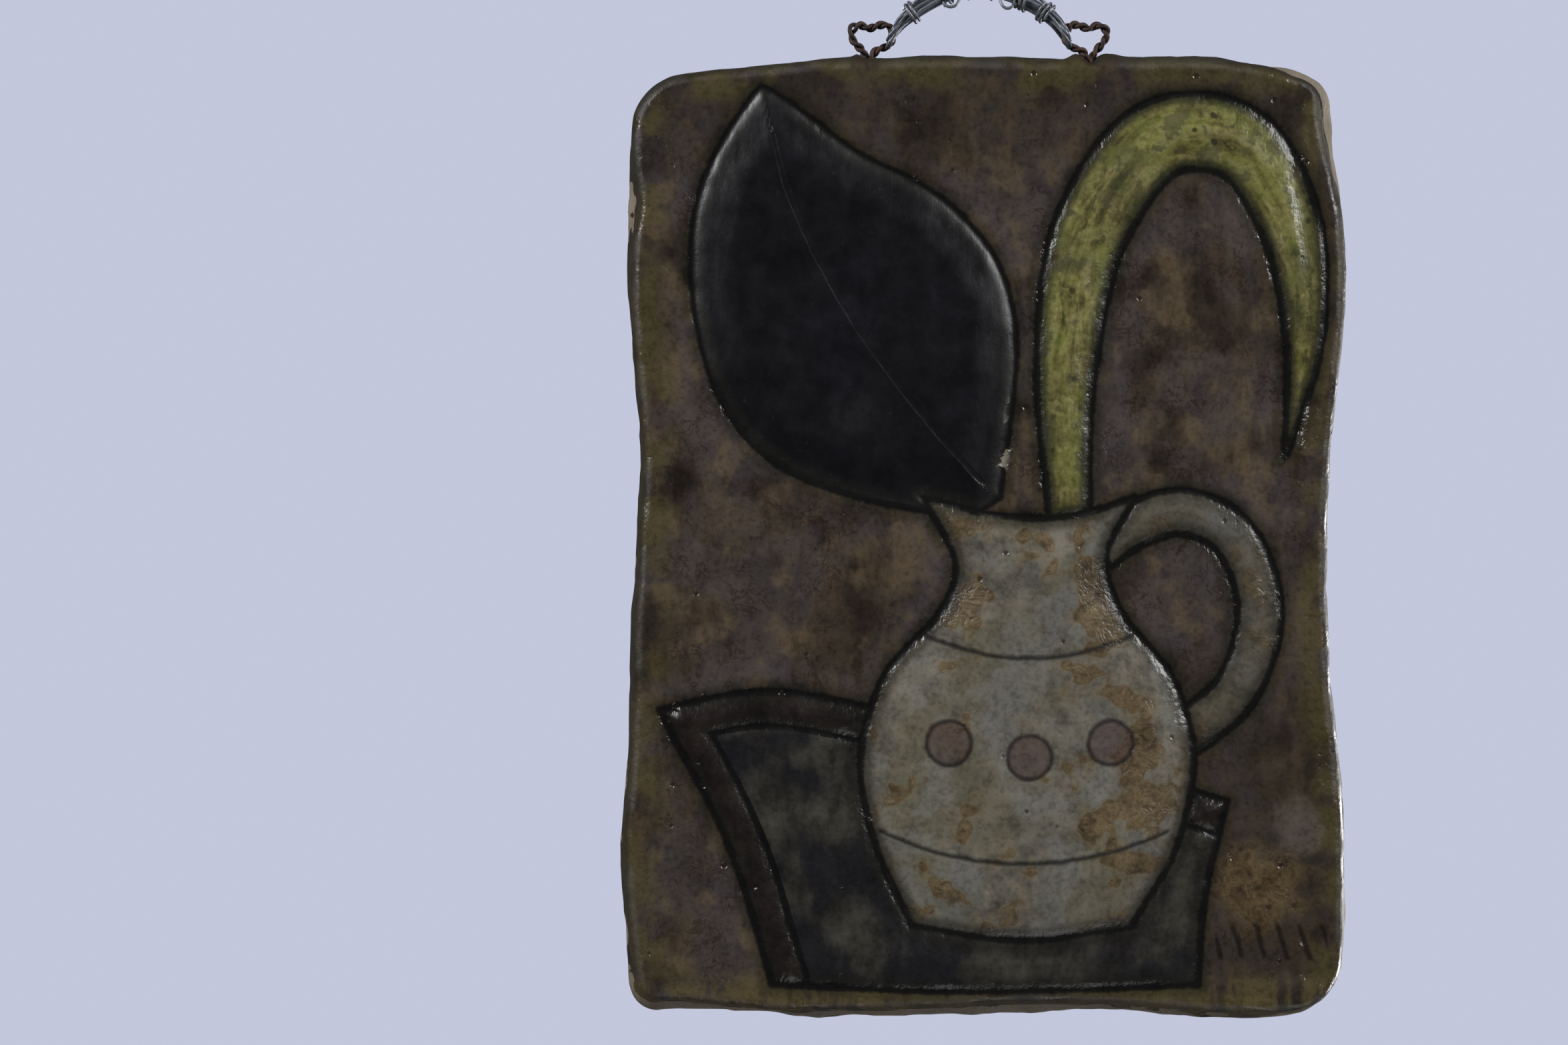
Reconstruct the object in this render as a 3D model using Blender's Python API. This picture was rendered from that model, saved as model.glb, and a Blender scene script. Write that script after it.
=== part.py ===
"""Glazed ceramic wall plaque in low relief, hung by a handle of bound steel wire.

The slab is one piece of fired clay with an uneven, hand-pressed edge. Its face carries a raised
and incised still life: a jug on a cloth, a broad dark leaf and a long arching blade. Two eyelets
of twisted iron wire are sunk in its top edge, and the steel handle loops through both of them.

The face looks along -Y, the flat back lies against a wall at +Y, and Z is up. The origin is the
point under the crown of the handle where a nail bears. Sizes are in millimetres, and a mesh is
turned into metres as it is written. Layout coordinates are (x, z) from the middle of the slab.
"""

import math

import bmesh
import bpy
import numpy as np
from mathutils import Vector, geometry

MM = 0.001

# Slab
PLAQUE_WIDTH = 200.0
PLAQUE_HEIGHT = 264.0
SLAB_THICKNESS = 13.0
LIP_HEIGHT = 4.2
LIP_ROUNDING = 3.0
BACK_CHAMFER = 1.2
FOOT_HEIGHT = 3.6
CORNER_RADII = {"top_left": 13.0, "top_right": 9.0, "bottom_right": 12.0, "bottom_left": 8.0}

# Relief
GROOVE_DEPTH = 1.7
GROOVE_HALF_WIDTH = 1.7
DRAWN_DEPTH = 0.9
DRAWN_HALF_WIDTH = 1.1
PILLOW_WIDTH = 5.0
JUG_RISE = 2.6
JUG_HANDLE_RISE = 1.9
LEAF_RISE = 2.4
BLADE_RISE = 2.0
CLOTH_RISE = 0.9
HEM_RISE = 0.8
HEM_WIDTH = 9.5
JUG_HANDLE_WIDTH = 12.0
LEAF_WIDTH = 84.0
BLADE_WIDTH = 21.0
BERRY_RADIUS = 6.2

# Hand-pressed waver of each side, inwards from the true rectangle, at even stations
LEFT_WAVER = (4.6, 2.6, 2.2, 2.4, 4.2, 5.8, 4.6, 3.3, 2.8, 1.6, 0.1, 1.6, 3.2)
RIGHT_WAVER = (4.8, 3.6, 1.0, 0.6, 2.6, 4.6, 5.6, 5.4, 4.2, 1.8, 0.7, 0.5, 2.6)
TOP_WAVER = (6.4, 4.2, 2.6, 0.8, 0.5, 0.1, 0.7, 0.6, 0.5, 0.4, 2.4, 5.2)
BOTTOM_WAVER = (1.8, 2.3, 1.2, 0.1, 0.0, 0.6, 1.5, 1.6, 1.3, 0.4, 0.3, 3.4)

# Places where bare clay stands past the glazed face: (x share, z share, reach, spread)
CLAY_FLARES = ((-1.0, 0.72, 2.2, 9.0), (1.0, 0.92, 1.5, 17.0), (-0.92, -1.0, 1.7, 14.0), (0.0, -1.0, 0.9, 60.0))

# Iron eyelets
EYELET_SPACING = 60.7
HANGER_OFFSET = -1.35
EYELET_WIRE = 1.2
EYELET_WIDTH = 11.8
EYELET_HEIGHT = 9.4
EYELET_TWISTS = 6
LEG_SHARE = 0.66
STEM_RADIUS = 2.0
STEM_DEPTH = 9.0
STEM_CLEARANCE = 0.3

# Steel handle
HANDLE_RISE = 19.3
HANDLE_DEPTH = 5.6
HANDLE_HEIGHT = 5.4
HANDLE_HOOK_HEIGHT = 3.4
HANDLE_HOOK_LAYER = 1.7
HANDLE_CLEARANCE = 0.6
RUN_GAP = 0.3
BINDING_WIRE = 1.0
BINDING_PLACES = (-0.66, -0.47, -0.14, 0.16, 0.44, 0.62)

# Mesh fineness
RIM_STEP = 5.2
OUTLINE_STEP = 4.4
FIELD_STEP = 11.0
WIRE_SIDES = 8

HALF_WIDTH = PLAQUE_WIDTH / 2
HALF_HEIGHT = PLAQUE_HEIGHT / 2
DESIGN_HALF_WIDTH = 100.0
DESIGN_HALF_HEIGHT = 132.0


def clear_scene():
    """Removes whatever the file starts with."""
    for thing in list(bpy.data.objects):
        bpy.data.objects.remove(thing, do_unlink=True)


def smooth_between(values, share):
    """Reads even stations, from share -1 to 1, along a smooth cubic through each value."""
    v = np.asarray(values, float)
    place = (np.clip(share, -1, 1) + 1) / 2 * (len(v) - 1)
    i = np.clip(np.floor(place).astype(int), 0, len(v) - 2)
    t = place - i
    before, here, after = v[np.maximum(i - 1, 0)], v[i], v[i + 1]
    beyond = v[np.minimum(i + 2, len(v) - 1)]
    slope = after - before
    bend = 2 * before - 5 * here + 4 * after - beyond
    twist = 3 * (here - after) + beyond - before
    return here + 0.5 * t * (slope + t * (bend + t * twist))


def rim_outline(step):
    """The slab's silhouette before its sides are pressed in, anticlockwise, and each point's facing."""
    pieces, facings = [], []
    corners = (("bottom_right", 1, -1), ("top_right", 1, 1), ("top_left", -1, 1), ("bottom_left", -1, -1))
    for i, (name, right, up) in enumerate(corners):
        radius = CORNER_RADII[name]
        centre = np.array([right * (HALF_WIDTH - radius), up * (HALF_HEIGHT - radius)])
        start = -math.pi / 2 + i * math.pi / 2
        count = max(3, round(radius * math.pi / 2 / step))
        angle = start + np.linspace(0, math.pi / 2, count + 1)
        arc = centre + radius * np.stack([np.cos(angle), np.sin(angle)], -1)
        after, after_right, after_up = corners[(i + 1) % 4]
        next_radius = CORNER_RADII[after]
        next_centre = np.array(
            [after_right * (HALF_WIDTH - next_radius), after_up * (HALF_HEIGHT - next_radius)]
        )
        leaving = np.array([math.cos(angle[-1]), math.sin(angle[-1])])
        end = next_centre + next_radius * leaving
        run = max(2, round(np.linalg.norm(end - arc[-1]) / step))
        straight = arc[-1] + (end - arc[-1]) * (np.arange(1, run) / run)[:, None]
        facing = np.vstack([np.stack([np.cos(angle), np.sin(angle)], -1), np.tile(leaving, (run - 1, 1))])
        points = np.vstack([arc, straight])
        pieces.append(points)
        facings.append(facing)
    return np.vstack(pieces), np.vstack(facings)


def pressed(points):
    """Points of the true rectangle, carried inwards with its hand-pressed sides."""
    x, z = points[:, 0] / HALF_WIDTH, points[:, 1] / HALF_HEIGHT
    across_x = np.where(x < 0, smooth_between(LEFT_WAVER, -z), smooth_between(RIGHT_WAVER, -z))
    across_z = np.where(z > 0, smooth_between(TOP_WAVER, x), smooth_between(BOTTOM_WAVER, x))
    return points - np.stack([x * across_x, z * across_z], -1)


def clay_flare(points):
    """How far the bare clay reaches past the glazed face near each outline point."""
    reach = np.full(len(points), 0.7)
    for x_share, z_share, most, spread in CLAY_FLARES:
        centre = np.array([x_share * HALF_WIDTH, z_share * HALF_HEIGHT])
        gap = np.linalg.norm(points - centre, axis=1)
        reach += most * np.exp(-((gap / spread) ** 2))
    return reach


def fit_layout(points):
    """Layout points, drawn for the true slab, carried to the slab's present width and height."""
    share = np.array([HALF_WIDTH / DESIGN_HALF_WIDTH, HALF_HEIGHT / DESIGN_HALF_HEIGHT])
    return np.asarray(points, float) * share


def stroke(points, step=OUTLINE_STEP):
    """A smooth open curve through points, a centripetal Catmull-Rom spline."""
    p = np.asarray(points, float)
    p = np.vstack([2 * p[0] - p[1], p, 2 * p[-1] - p[-2]])
    made = []
    for a, b, c, d in zip(p[:-3], p[1:-2], p[2:-1], p[3:]):
        t1 = math.sqrt(np.linalg.norm(b - a))
        t2 = t1 + math.sqrt(np.linalg.norm(c - b))
        t3 = t2 + math.sqrt(np.linalg.norm(d - c))
        count = max(2, round(np.linalg.norm(c - b) / step))
        t = np.linspace(t1, t2, count, endpoint=False)[:, None]
        ab = ((t1 - t) * a + t * b) / t1
        bc = ((t2 - t) * b + (t - t1) * c) / (t2 - t1)
        cd = ((t3 - t) * c + (t - t2) * d) / (t3 - t2)
        first = ((t2 - t) * ab + t * bc) / t2
        second = ((t3 - t) * bc + (t - t1) * cd) / (t3 - t1)
        made.append(((t2 - t) * first + (t - t1) * second) / (t2 - t1))
    return np.vstack(made + [p[-2:-1]])


def outline(*strokes):
    """A closed outline from strokes that meet at its corners."""
    return np.vstack([stroke(fit_layout(s))[:-1] for s in strokes])


def left_normals(line):
    """Unit normals to the left of a polyline."""
    along = np.gradient(line, axis=0)
    along /= np.linalg.norm(along, axis=1)[:, None]
    return np.stack([-along[:, 1], along[:, 0]], -1)


def shares_along(line):
    """Each point's share of the way along a polyline."""
    run = np.concatenate([[0], np.cumsum(np.linalg.norm(np.diff(line, axis=0), axis=1))])
    return run / run[-1]


def leaf_outline(axis, width, fullest, base):
    """A leaf: its half-width swells from the base to the fullest share, then runs out to a point."""
    line = stroke(fit_layout(axis))
    t = shares_along(line)
    bulge = np.sin(math.pi * t ** (math.log(0.5) / math.log(fullest))) ** np.where(t < fullest, 1.3, 0.85)
    half = np.where(t < fullest, base / 2 + (width - base) / 2 * bulge, width / 2 * bulge)
    offset = left_normals(line) * half[:, None]
    return np.vstack([line + offset, (line - offset)[::-1][1:]])


def strap_outline(axis, width):
    """A strap of even width along an axis."""
    line = stroke(fit_layout(axis))
    offset = left_normals(line) * width / 2
    return np.vstack([line + offset, (line - offset)[::-1]])


def distance_to_line(line, points):
    """Distance of each point from an open polyline."""
    nearest = np.full(len(points), np.inf)
    for a, b in zip(line[:-1], line[1:]):
        edge = b - a
        t = np.clip((points - a) @ edge / max(edge @ edge, 1e-12), 0, 1)
        nearest = np.minimum(nearest, np.linalg.norm(points - a - t[:, None] * edge, axis=1))
    return nearest


def signed_distance(closed, points):
    """Distance of each point from a closed outline, negative inside it."""
    ring = np.vstack([closed, closed[:1]])
    inside = np.zeros(len(points), bool)
    for a, b in zip(ring[:-1], ring[1:]):
        rise = b[1] - a[1]
        crosses = (a[1] > points[:, 1]) != (b[1] > points[:, 1])
        if abs(rise) > 1e-12:
            inside ^= crosses & (points[:, 0] < a[0] + (points[:, 1] - a[1]) / rise * (b[0] - a[0]))
    return np.where(inside, -1, 1) * distance_to_line(ring, points)


def motif():
    """The raised shapes from front to back: {name: (outline, rise)}."""
    jug = outline(
        [(-20, -106), (-30, -84), (-34, -60), (-27, -37), (-12, -20), (-8, -8), (-17, 11)],
        [(-17, 11), (4, 6), (24, 6), (41, 11)],
        [(41, 11), (33, -6), (37, -20), (51, -38), (57, -60), (52, -85), (40, -106)],
        [(40, -106), (10, -110), (-20, -106)],
    )
    jug_handle = strap_outline(
        [(31, -3), (40, 3), (53, 7), (67, 1), (75, -19), (69, -41), (57, -52), (46, -58)], JUG_HANDLE_WIDTH
    )
    leaf = leaf_outline([(0, 8), (-16, 30), (-38, 62), (-54, 92), (-61, 123)], LEAF_WIDTH, 0.44, 10)
    blade_axis = [(23, 4), (22, 44), (29, 84), (48, 109), (69, 108), (83, 86), (87, 54), (82, 22)]
    blade = leaf_outline(blade_axis, BLADE_WIDTH, 0.48, 11)
    cloth = outline(*CLOTH_STROKES)
    return {
        "jug": (jug, JUG_RISE),
        "jug_handle": (jug_handle, JUG_HANDLE_RISE),
        "leaf": (leaf, LEAF_RISE),
        "blade": (blade, BLADE_RISE),
        "cloth": (cloth, CLOTH_RISE),
    }


CLOTH_STROKES = (
    [(-58, -122), (-70, -84), (-89, -47)],
    [(-89, -47), (-60, -42), (-24, -48), (20, -58), (66, -72)],
    [(66, -72), (60, -98), (58, -122)],
    [(58, -122), (0, -124), (-58, -122)],
)


def hem_line():
    """The cloth's left and top edges, which the hem follows."""
    return np.vstack([stroke(fit_layout(CLOTH_STROKES[0]))[:-1], stroke(fit_layout(CLOTH_STROKES[1]))])


def drawn_lines():
    """Thin incised lines: the leaf's rib, two bands round the jug and three berries between them."""
    lines = [stroke(fit_layout([(-1, 15), (-17, 33), (-38, 62), (-53, 92), (-58, 110)]))]
    for left, middle, right in (((-16, -27), (11, -33), (40, -27)), ((-29, -80), (11, -89), (50, -80))):
        lines.append(stroke(fit_layout([left, middle, right])))
    for centre in ((-10, -56), (12, -60), (34, -56)):
        turn = np.linspace(0, 2 * math.pi, 11)
        ring = np.stack([np.cos(turn), np.sin(turn)], -1) * BERRY_RADIUS
        lines.append(fit_layout(centre) + ring)
    return lines


def seen_distances(shapes, points):
    """Signed distance to the part of each shape that no shape in front covers: (names, array)."""
    covered = np.full(len(points), -np.inf)
    rows = []
    for closed, _ in shapes.values():
        own = signed_distance(closed, points)
        rows.append(np.maximum(own, covered))
        covered = np.maximum(covered, -own)
    return np.array(rows)


def ease(t):
    """A smooth step from 0 to 1."""
    t = np.clip(t, 0, 1)
    return t * t * (3 - 2 * t)


def relief_height(shapes, lines, points):
    """Height of the face above the slab's back at layout points."""
    x, z = points[:, 0], points[:, 1]
    height = SLAB_THICKNESS + 0.35 * np.sin(x / 17 + z / 41) + 0.3 * np.sin(z / 23 - x / 60 + 1.3)
    seen = seen_distances(shapes, points)
    for own, (_, rise) in zip(seen, shapes.values()):
        height += rise * ease(-own / PILLOW_WIDTH)
    hem = hem_distance(seen[list(shapes).index("cloth")], points)
    height += HEM_RISE * ease(-hem / (HEM_WIDTH / 2))
    edge = np.minimum(np.abs(seen).min(axis=0), np.where(hem < 1.0, np.abs(hem), np.inf))
    height -= GROOVE_DEPTH * ease(1 - edge / GROOVE_HALF_WIDTH)
    drawn = np.min([distance_to_line(line, points) for line in lines], axis=0)
    return height - DRAWN_DEPTH * ease(1 - drawn / DRAWN_HALF_WIDTH)


def hem_distance(cloth_seen, points):
    """Signed distance to the hem: the strip of the cloth along its left and top edges."""
    return np.maximum(cloth_seen, distance_to_line(hem_line(), points) - HEM_WIDTH)


def widened(ring, amount):
    """A clockwise outline moved outwards by an amount."""
    along = np.roll(ring, -1, axis=0) - np.roll(ring, 1, axis=0)
    along /= np.linalg.norm(along, axis=1)[:, None]
    return ring + np.stack([-along[:, 1], along[:, 0]], -1) * amount


def relief_rows(shapes, lines, field_edge):
    """Point rows that follow every groove, shoulder and pillow edge: [(points, closed)]."""
    rows = []
    names = list(shapes)
    for name, (closed, _) in shapes.items():
        for offset in (0, -GROOVE_HALF_WIDTH, GROOVE_HALF_WIDTH, -PILLOW_WIDTH):
            points = widened(closed, offset)
            seen = seen_distances(shapes, points)
            own = seen[names.index(name)]
            others = np.delete(seen, names.index(name), axis=0)
            keep = np.abs(own - offset) < 0.3
            if offset:
                keep &= np.abs(others).min(axis=0) > GROOVE_HALF_WIDTH
            rows += unbroken(points, keep, True)
    hem_inner = offset_line(hem_line(), -HEM_WIDTH)
    for line, half in [(hem_inner, GROOVE_HALF_WIDTH)] + [(line, DRAWN_HALF_WIDTH) for line in lines]:
        for offset in (0, -half, half):
            points = offset_line(line, offset)
            clear = np.abs(seen_distances(shapes, points)).min(axis=0) > GROOVE_HALF_WIDTH + 0.4
            clear &= np.abs(distance_to_line(line, points) - abs(offset)) < 0.3
            if half == GROOVE_HALF_WIDTH:
                clear &= signed_distance(shapes["jug"][0], points) > GROOVE_HALF_WIDTH
            rows += unbroken(points, clear, False)
    return [row for row in rows if signed_distance(field_edge, row).max() < -1.0]


def offset_line(line, amount):
    """An open polyline moved to its left by an amount."""
    return line + left_normals(line) * amount


def unbroken(points, keep, closed):
    """The stretches of consecutive kept points."""
    if closed and keep.all():
        return [np.vstack([points, points[:1]])]
    if closed and keep.any():
        start = int(np.argmin(keep))
        points, keep = np.roll(points, -start, axis=0), np.roll(keep, -start)
    stretches, current = [], []
    for point, kept in zip(points, keep):
        if kept:
            current.append(point)
        elif current:
            stretches.append(np.array(current))
            current = []
    if current:
        stretches.append(np.array(current))
    return [s for s in stretches if len(s) > 1]


def field_points(taken, field_edge):
    """Staggered points over the open parts of the face, clear of the rows already there."""
    made = []
    for i, z in enumerate(np.arange(-HALF_HEIGHT, HALF_HEIGHT, FIELD_STEP * 0.87)):
        x = np.arange(-HALF_WIDTH, HALF_WIDTH, FIELD_STEP) + FIELD_STEP / 2 * (i % 2)
        made.append(np.stack([x, np.full(len(x), z)], -1))
    points = np.vstack(made)
    gap = np.sqrt(((points[:, None] - taken[None]) ** 2).sum(-1)).min(axis=1)
    return points[(gap > FIELD_STEP * 0.42) & (signed_distance(field_edge, points) < -FIELD_STEP * 0.4)]


def on_slab(points, heights):
    """Layout points at heights above the back, as vectors in the row's frame, in metres."""
    x = points[:, 0] - HANGER_OFFSET
    y = SLAB_THICKNESS / 2 - np.broadcast_to(heights, len(points))
    z = points[:, 1] - crown_height()
    return [Vector((a * MM, b * MM, c * MM)) for a, b, c in zip(x, y, z)]


def top_edge_height(x):
    """Height of the slab's top edge at a place along it."""
    return HALF_HEIGHT - float(smooth_between(TOP_WAVER, np.array([x / HALF_WIDTH]))[0])


def crown_height():
    """Height of the underside of the handle's crown above the slab's middle."""
    return top_edge_height(HANGER_OFFSET) + HANDLE_RISE - HANDLE_HEIGHT / 2


def slab_mesh():
    """The slab: a flat back, a pressed edge and a face lifted to its relief, as one closed mesh."""
    shapes, lines = motif(), drawn_lines()
    rim, facing = rim_outline(RIM_STEP)
    flare = clay_flare(rim)[:, None]
    field_edge = pressed(rim - facing * (flare + LIP_ROUNDING))
    edge_heights = relief_height(shapes, lines, field_edge)
    loops = [
        on_slab(pressed(rim - facing * BACK_CHAMFER), 0.0),
        on_slab(pressed(rim), FOOT_HEIGHT),
        on_slab(pressed(rim - facing * flare), edge_heights - LIP_HEIGHT),
        on_slab(pressed(rim - facing * (flare + LIP_ROUNDING * 0.3)), edge_heights - LIP_HEIGHT * 0.3),
    ]
    mesh = bmesh.new()
    rings = [[mesh.verts.new(p) for p in ring] for ring in loops]
    mesh.faces.new(rings[0][::-1])
    face_ring = lift_face(mesh, shapes, lines, field_edge)
    rings.append(face_ring)
    for low, high in zip(rings[:-1], rings[1:]):
        for i in range(len(low)):
            j = (i + 1) % len(low)
            mesh.faces.new((low[i], low[j], high[j], high[i]))
    bmesh.ops.recalc_face_normals(mesh, faces=mesh.faces)
    return mesh


def lift_face(mesh, shapes, lines, field_edge):
    """Triangulates the face between the rows of its relief and lifts it; returns its outer ring."""
    rows = relief_rows(shapes, lines, field_edge)
    count = len(field_edge)
    points = [field_edge]
    edges = [(i, (i + 1) % count) for i in range(count)]
    start = count
    for row in rows:
        points.append(row)
        edges += [(start + i, start + i + 1) for i in range(len(row) - 1)]
        start += len(row)
    points.append(field_points(np.vstack(points), field_edge))
    flat = np.vstack(points)
    made = geometry.delaunay_2d_cdt([Vector(p) for p in flat], edges, [], 0, 0.05, True)
    places, _, faces, sources = made[0], made[1], made[2], made[3]
    where = np.array([tuple(p) for p in places])
    lifted = on_slab(where, relief_height(shapes, lines, where))
    verts = [mesh.verts.new(p) for p in lifted]
    middles = np.array([where[list(face)].mean(axis=0) for face in faces])
    for face, across in zip(faces, signed_distance(field_edge, middles)):
        if across < 0:
            mesh.faces.new([verts[i] for i in face])
    loose = [vert for vert in verts if not vert.link_faces]
    ring = [None] * count
    for vert, source in zip(verts, sources):
        for i in source:
            if i < count:
                ring[i] = vert
    for vert in loose:
        mesh.verts.remove(vert)
    return ring


def sweep(path, normals, radii, closed, sides=WIRE_SIDES, lobes=0.0, twists=0.0):
    """A tube along a path, as a mesh in millimetres turned to metres.

    radii holds each station's radius along its normal and across it. lobes pinches the section
    to a figure eight, which then turns by the given number of half turns along the path.
    """
    mesh = bmesh.new()
    count = len(path)
    if closed:
        along = np.roll(path, -1, axis=0) - np.roll(path, 1, axis=0)
    else:
        along = np.gradient(path, axis=0)
    along /= np.linalg.norm(along, axis=1)[:, None]
    across = np.cross(along, normals)
    rings = []
    for i in range(count):
        ring = []
        phase = twists * math.pi * i / (count if closed else count - 1)
        for j in range(sides):
            angle = 2 * math.pi * j / sides
            swell = 1 + lobes * math.cos(2 * (angle - phase))
            point = path[i] + swell * (
                normals[i] * radii[i][0] * math.cos(angle) + across[i] * radii[i][1] * math.sin(angle)
            )
            ring.append(mesh.verts.new(Vector(point * MM)))
        rings.append(ring)
    pairs = list(zip(rings, rings[1:] + rings[:1])) if closed else list(zip(rings, rings[1:]))
    for low, high in pairs:
        for i in range(sides):
            j = (i + 1) % sides
            mesh.faces.new((low[i], low[j], high[j], high[i]))
    if not closed:
        mesh.faces.new(rings[0][::-1])
        mesh.faces.new(rings[-1])
    bmesh.ops.recalc_face_normals(mesh, faces=mesh.faces)
    return mesh


def eyelet_base(side):
    """Where an eyelet's loop meets the slab, as (x, z) in the row's frame; side is -1 or 1."""
    x = side * EYELET_SPACING / 2
    return np.array([x, top_edge_height(x + HANGER_OFFSET) - crown_height()])


def eyelet_loop(side):
    """The closed centreline of an eyelet's heart-shaped loop, in the row's frame."""
    shape = [
        (0.0, 0.20), (0.20, 0.25), (0.42, 0.34), (0.57, 0.48), (0.61, 0.66), (0.58, 0.86), (0.45, 0.98),
        (0.22, 0.97), (0.01, 0.88), (-0.19, 0.98), (-0.35, 0.90), (-0.40, 0.70), (-0.31, 0.45), (-0.15, 0.26),
    ]
    base = eyelet_base(side)
    ring = np.array([(base[0] - side * a * EYELET_WIDTH, base[1] + b * EYELET_HEIGHT) for a, b in shape])
    ring = ring if side < 0 else ring[::-1]
    wrapped = stroke(np.vstack([ring[-2:], ring, ring[:3]]), 1.0)
    first = int(np.argmin(np.linalg.norm(wrapped - ring[0], axis=1)))
    turn = len(wrapped) - 1 - int(np.argmin(np.linalg.norm(wrapped[::-1] - ring[0], axis=1)))
    flat = wrapped[first:turn]
    return np.stack([flat[:, 0], np.zeros(len(flat)), flat[:, 1]], -1)


def leg_place(side):
    """The place on the eyelet's inner leg that the handle hooks round, and the leg's lean there."""
    loop = eyelet_loop(side)[:, ::2]
    lift = eyelet_base(side)[1] + EYELET_HEIGHT * LEG_SHARE
    inner = np.where(loop[:, 0] * side < abs(eyelet_base(side)[0]) - EYELET_WIDTH * 0.3, 0, 1000)
    i = int(np.argmin(np.abs(loop[:, 1] - lift) + inner))
    along = loop[(i + 1) % len(loop)] - loop[i - 1]
    along *= np.sign(along[1])
    return loop[i], along / np.linalg.norm(along)


def eyelet_mesh(side):
    """The twisted loop of one eyelet."""
    path = eyelet_loop(side)
    normals = np.tile([0.0, 1.0, 0.0], (len(path), 1))
    radii = np.full((len(path), 2), EYELET_WIRE * 0.86)
    return sweep(path, normals, radii, True, lobes=0.17, twists=2 * EYELET_TWISTS)


def stem_mesh(side):
    """The eyelet's two ends, twisted together and sunk in the slab."""
    base = eyelet_base(side)
    heights = np.linspace(-STEM_DEPTH, EYELET_HEIGHT * 0.2, 7)
    path = np.array([(base[0], 0.0, base[1] + h) for h in heights])
    normals = np.tile([1.0, 0.0, 0.0], (len(path), 1))
    taper = np.linspace(0.9, 0.62, len(path))
    taper[:-2] = 0.9
    radii = np.outer(taper, [STEM_RADIUS, STEM_RADIUS])
    return sweep(path, normals, radii, False, lobes=0.11, twists=3)


def handle_arch():
    """The middle line of the handle's arch between its hooks, as (x, z), and its ease at each point.

    The ease is 0 at the hooks and 1 over the crown.
    """
    crown = np.array([0.0, HANDLE_HEIGHT / 2])
    shares = [(0.0, 0.0), (0.12, 0.31), (0.32, 0.60), (0.46, 0.74), (0.70, 0.92), (1.0, 1.0)]
    halves = []
    for side in (-1, 1):
        leg, _ = leg_place(side)
        halves.append([leg + (crown - leg) * share for share in shares])
    line = stroke(np.array(halves[0] + halves[1][::-1][1:]), 1.9)
    return line, ease(1.15 * np.sin(math.pi * shares_along(line)) ** 0.5)


def handle_run(front):
    """One run of the handle, in front of the eyelets (-1) or behind them (1), from left to right."""
    line, rise = handle_arch()
    depth = hook_radius() + (HANDLE_DEPTH / 4 + RUN_GAP / 2 - hook_radius()) * rise
    return np.stack([line[:, 0], front * depth, line[:, 1]], -1)


def hook_radius():
    """Radius of the handle's turn round the eyelet's leg, at the middle of its wires."""
    return EYELET_WIRE + HANDLE_CLEARANCE + HANDLE_HOOK_LAYER / 2


def across_arch(line):
    """The upward normal of a line in the plane of the slab."""
    along = np.gradient(line, axis=0)
    normals = np.stack([-along[:, 2], np.zeros(len(line)), along[:, 0]], -1)
    return normals / np.linalg.norm(normals, axis=1)[:, None]


def handle_mesh():
    """The handle's bundle of wires: two runs joined by a turn round each eyelet's inner leg."""
    _, rise = handle_arch()
    tall = HANDLE_HOOK_HEIGHT + (HANDLE_HEIGHT - HANDLE_HOOK_HEIGHT) * rise
    thick = HANDLE_HOOK_LAYER + (HANDLE_DEPTH / 2 - HANDLE_HOOK_LAYER) * rise
    turn = np.linspace(0, math.pi, 7)[1:-1]
    path, normals, sizes = [], [], []
    for side in (1, -1):
        run = handle_run(-side)
        leg, lean = leg_place(side)
        up = np.array([lean[0], 0.0, lean[1]])
        blend = np.clip(1 - rise * 2.2, 0, 1)[:, None]
        nearer = np.where(run[:, :1] * side > 0, blend, 0)
        far_leg, far_lean = leg_place(-side)
        far_up = np.array([far_lean[0], 0.0, far_lean[1]])
        facing = across_arch(run) * (1 - blend) + up * nearer + far_up * (blend - nearer)
        order = slice(None) if side > 0 else slice(None, None, -1)
        path.append(run[order])
        normals.append(facing[order])
        sizes.append(np.stack([tall, thick], -1)[order] / 2)
        radius = hook_radius()
        bend = [
            (leg[0] + side * 1.2 * radius * math.sin(a), -side * radius * math.cos(a), leg[1]) for a in turn
        ]
        path.append(np.array(bend))
        normals.append(np.tile(up, (len(turn), 1)))
        sizes.append(np.tile([HANDLE_HOOK_HEIGHT / 2, HANDLE_HOOK_LAYER / 2], (len(turn), 1)))
    normals = np.vstack(normals)
    normals /= np.linalg.norm(normals, axis=1)[:, None]
    return sweep(np.vstack(path), normals, np.vstack(sizes), True)


def core_mesh():
    """The wires in the heart of the bundle, which fill the arch between its two runs."""
    line, rise = handle_arch()
    line, rise = (line[1:] + line[:-1]) / 2, (rise[1:] + rise[:-1]) / 2
    inner = rise > 0.72
    path = np.stack([line[inner, 0], np.zeros(inner.sum()), line[inner, 1]], -1)
    taper = ease((rise[inner] - 0.72) / 0.2)
    sizes = np.outer(0.5 + 0.5 * taper, [HANDLE_HEIGHT * 0.37, HANDLE_DEPTH * 0.27])
    return sweep(path, across_arch(path), sizes, False, sides=6)


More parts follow.
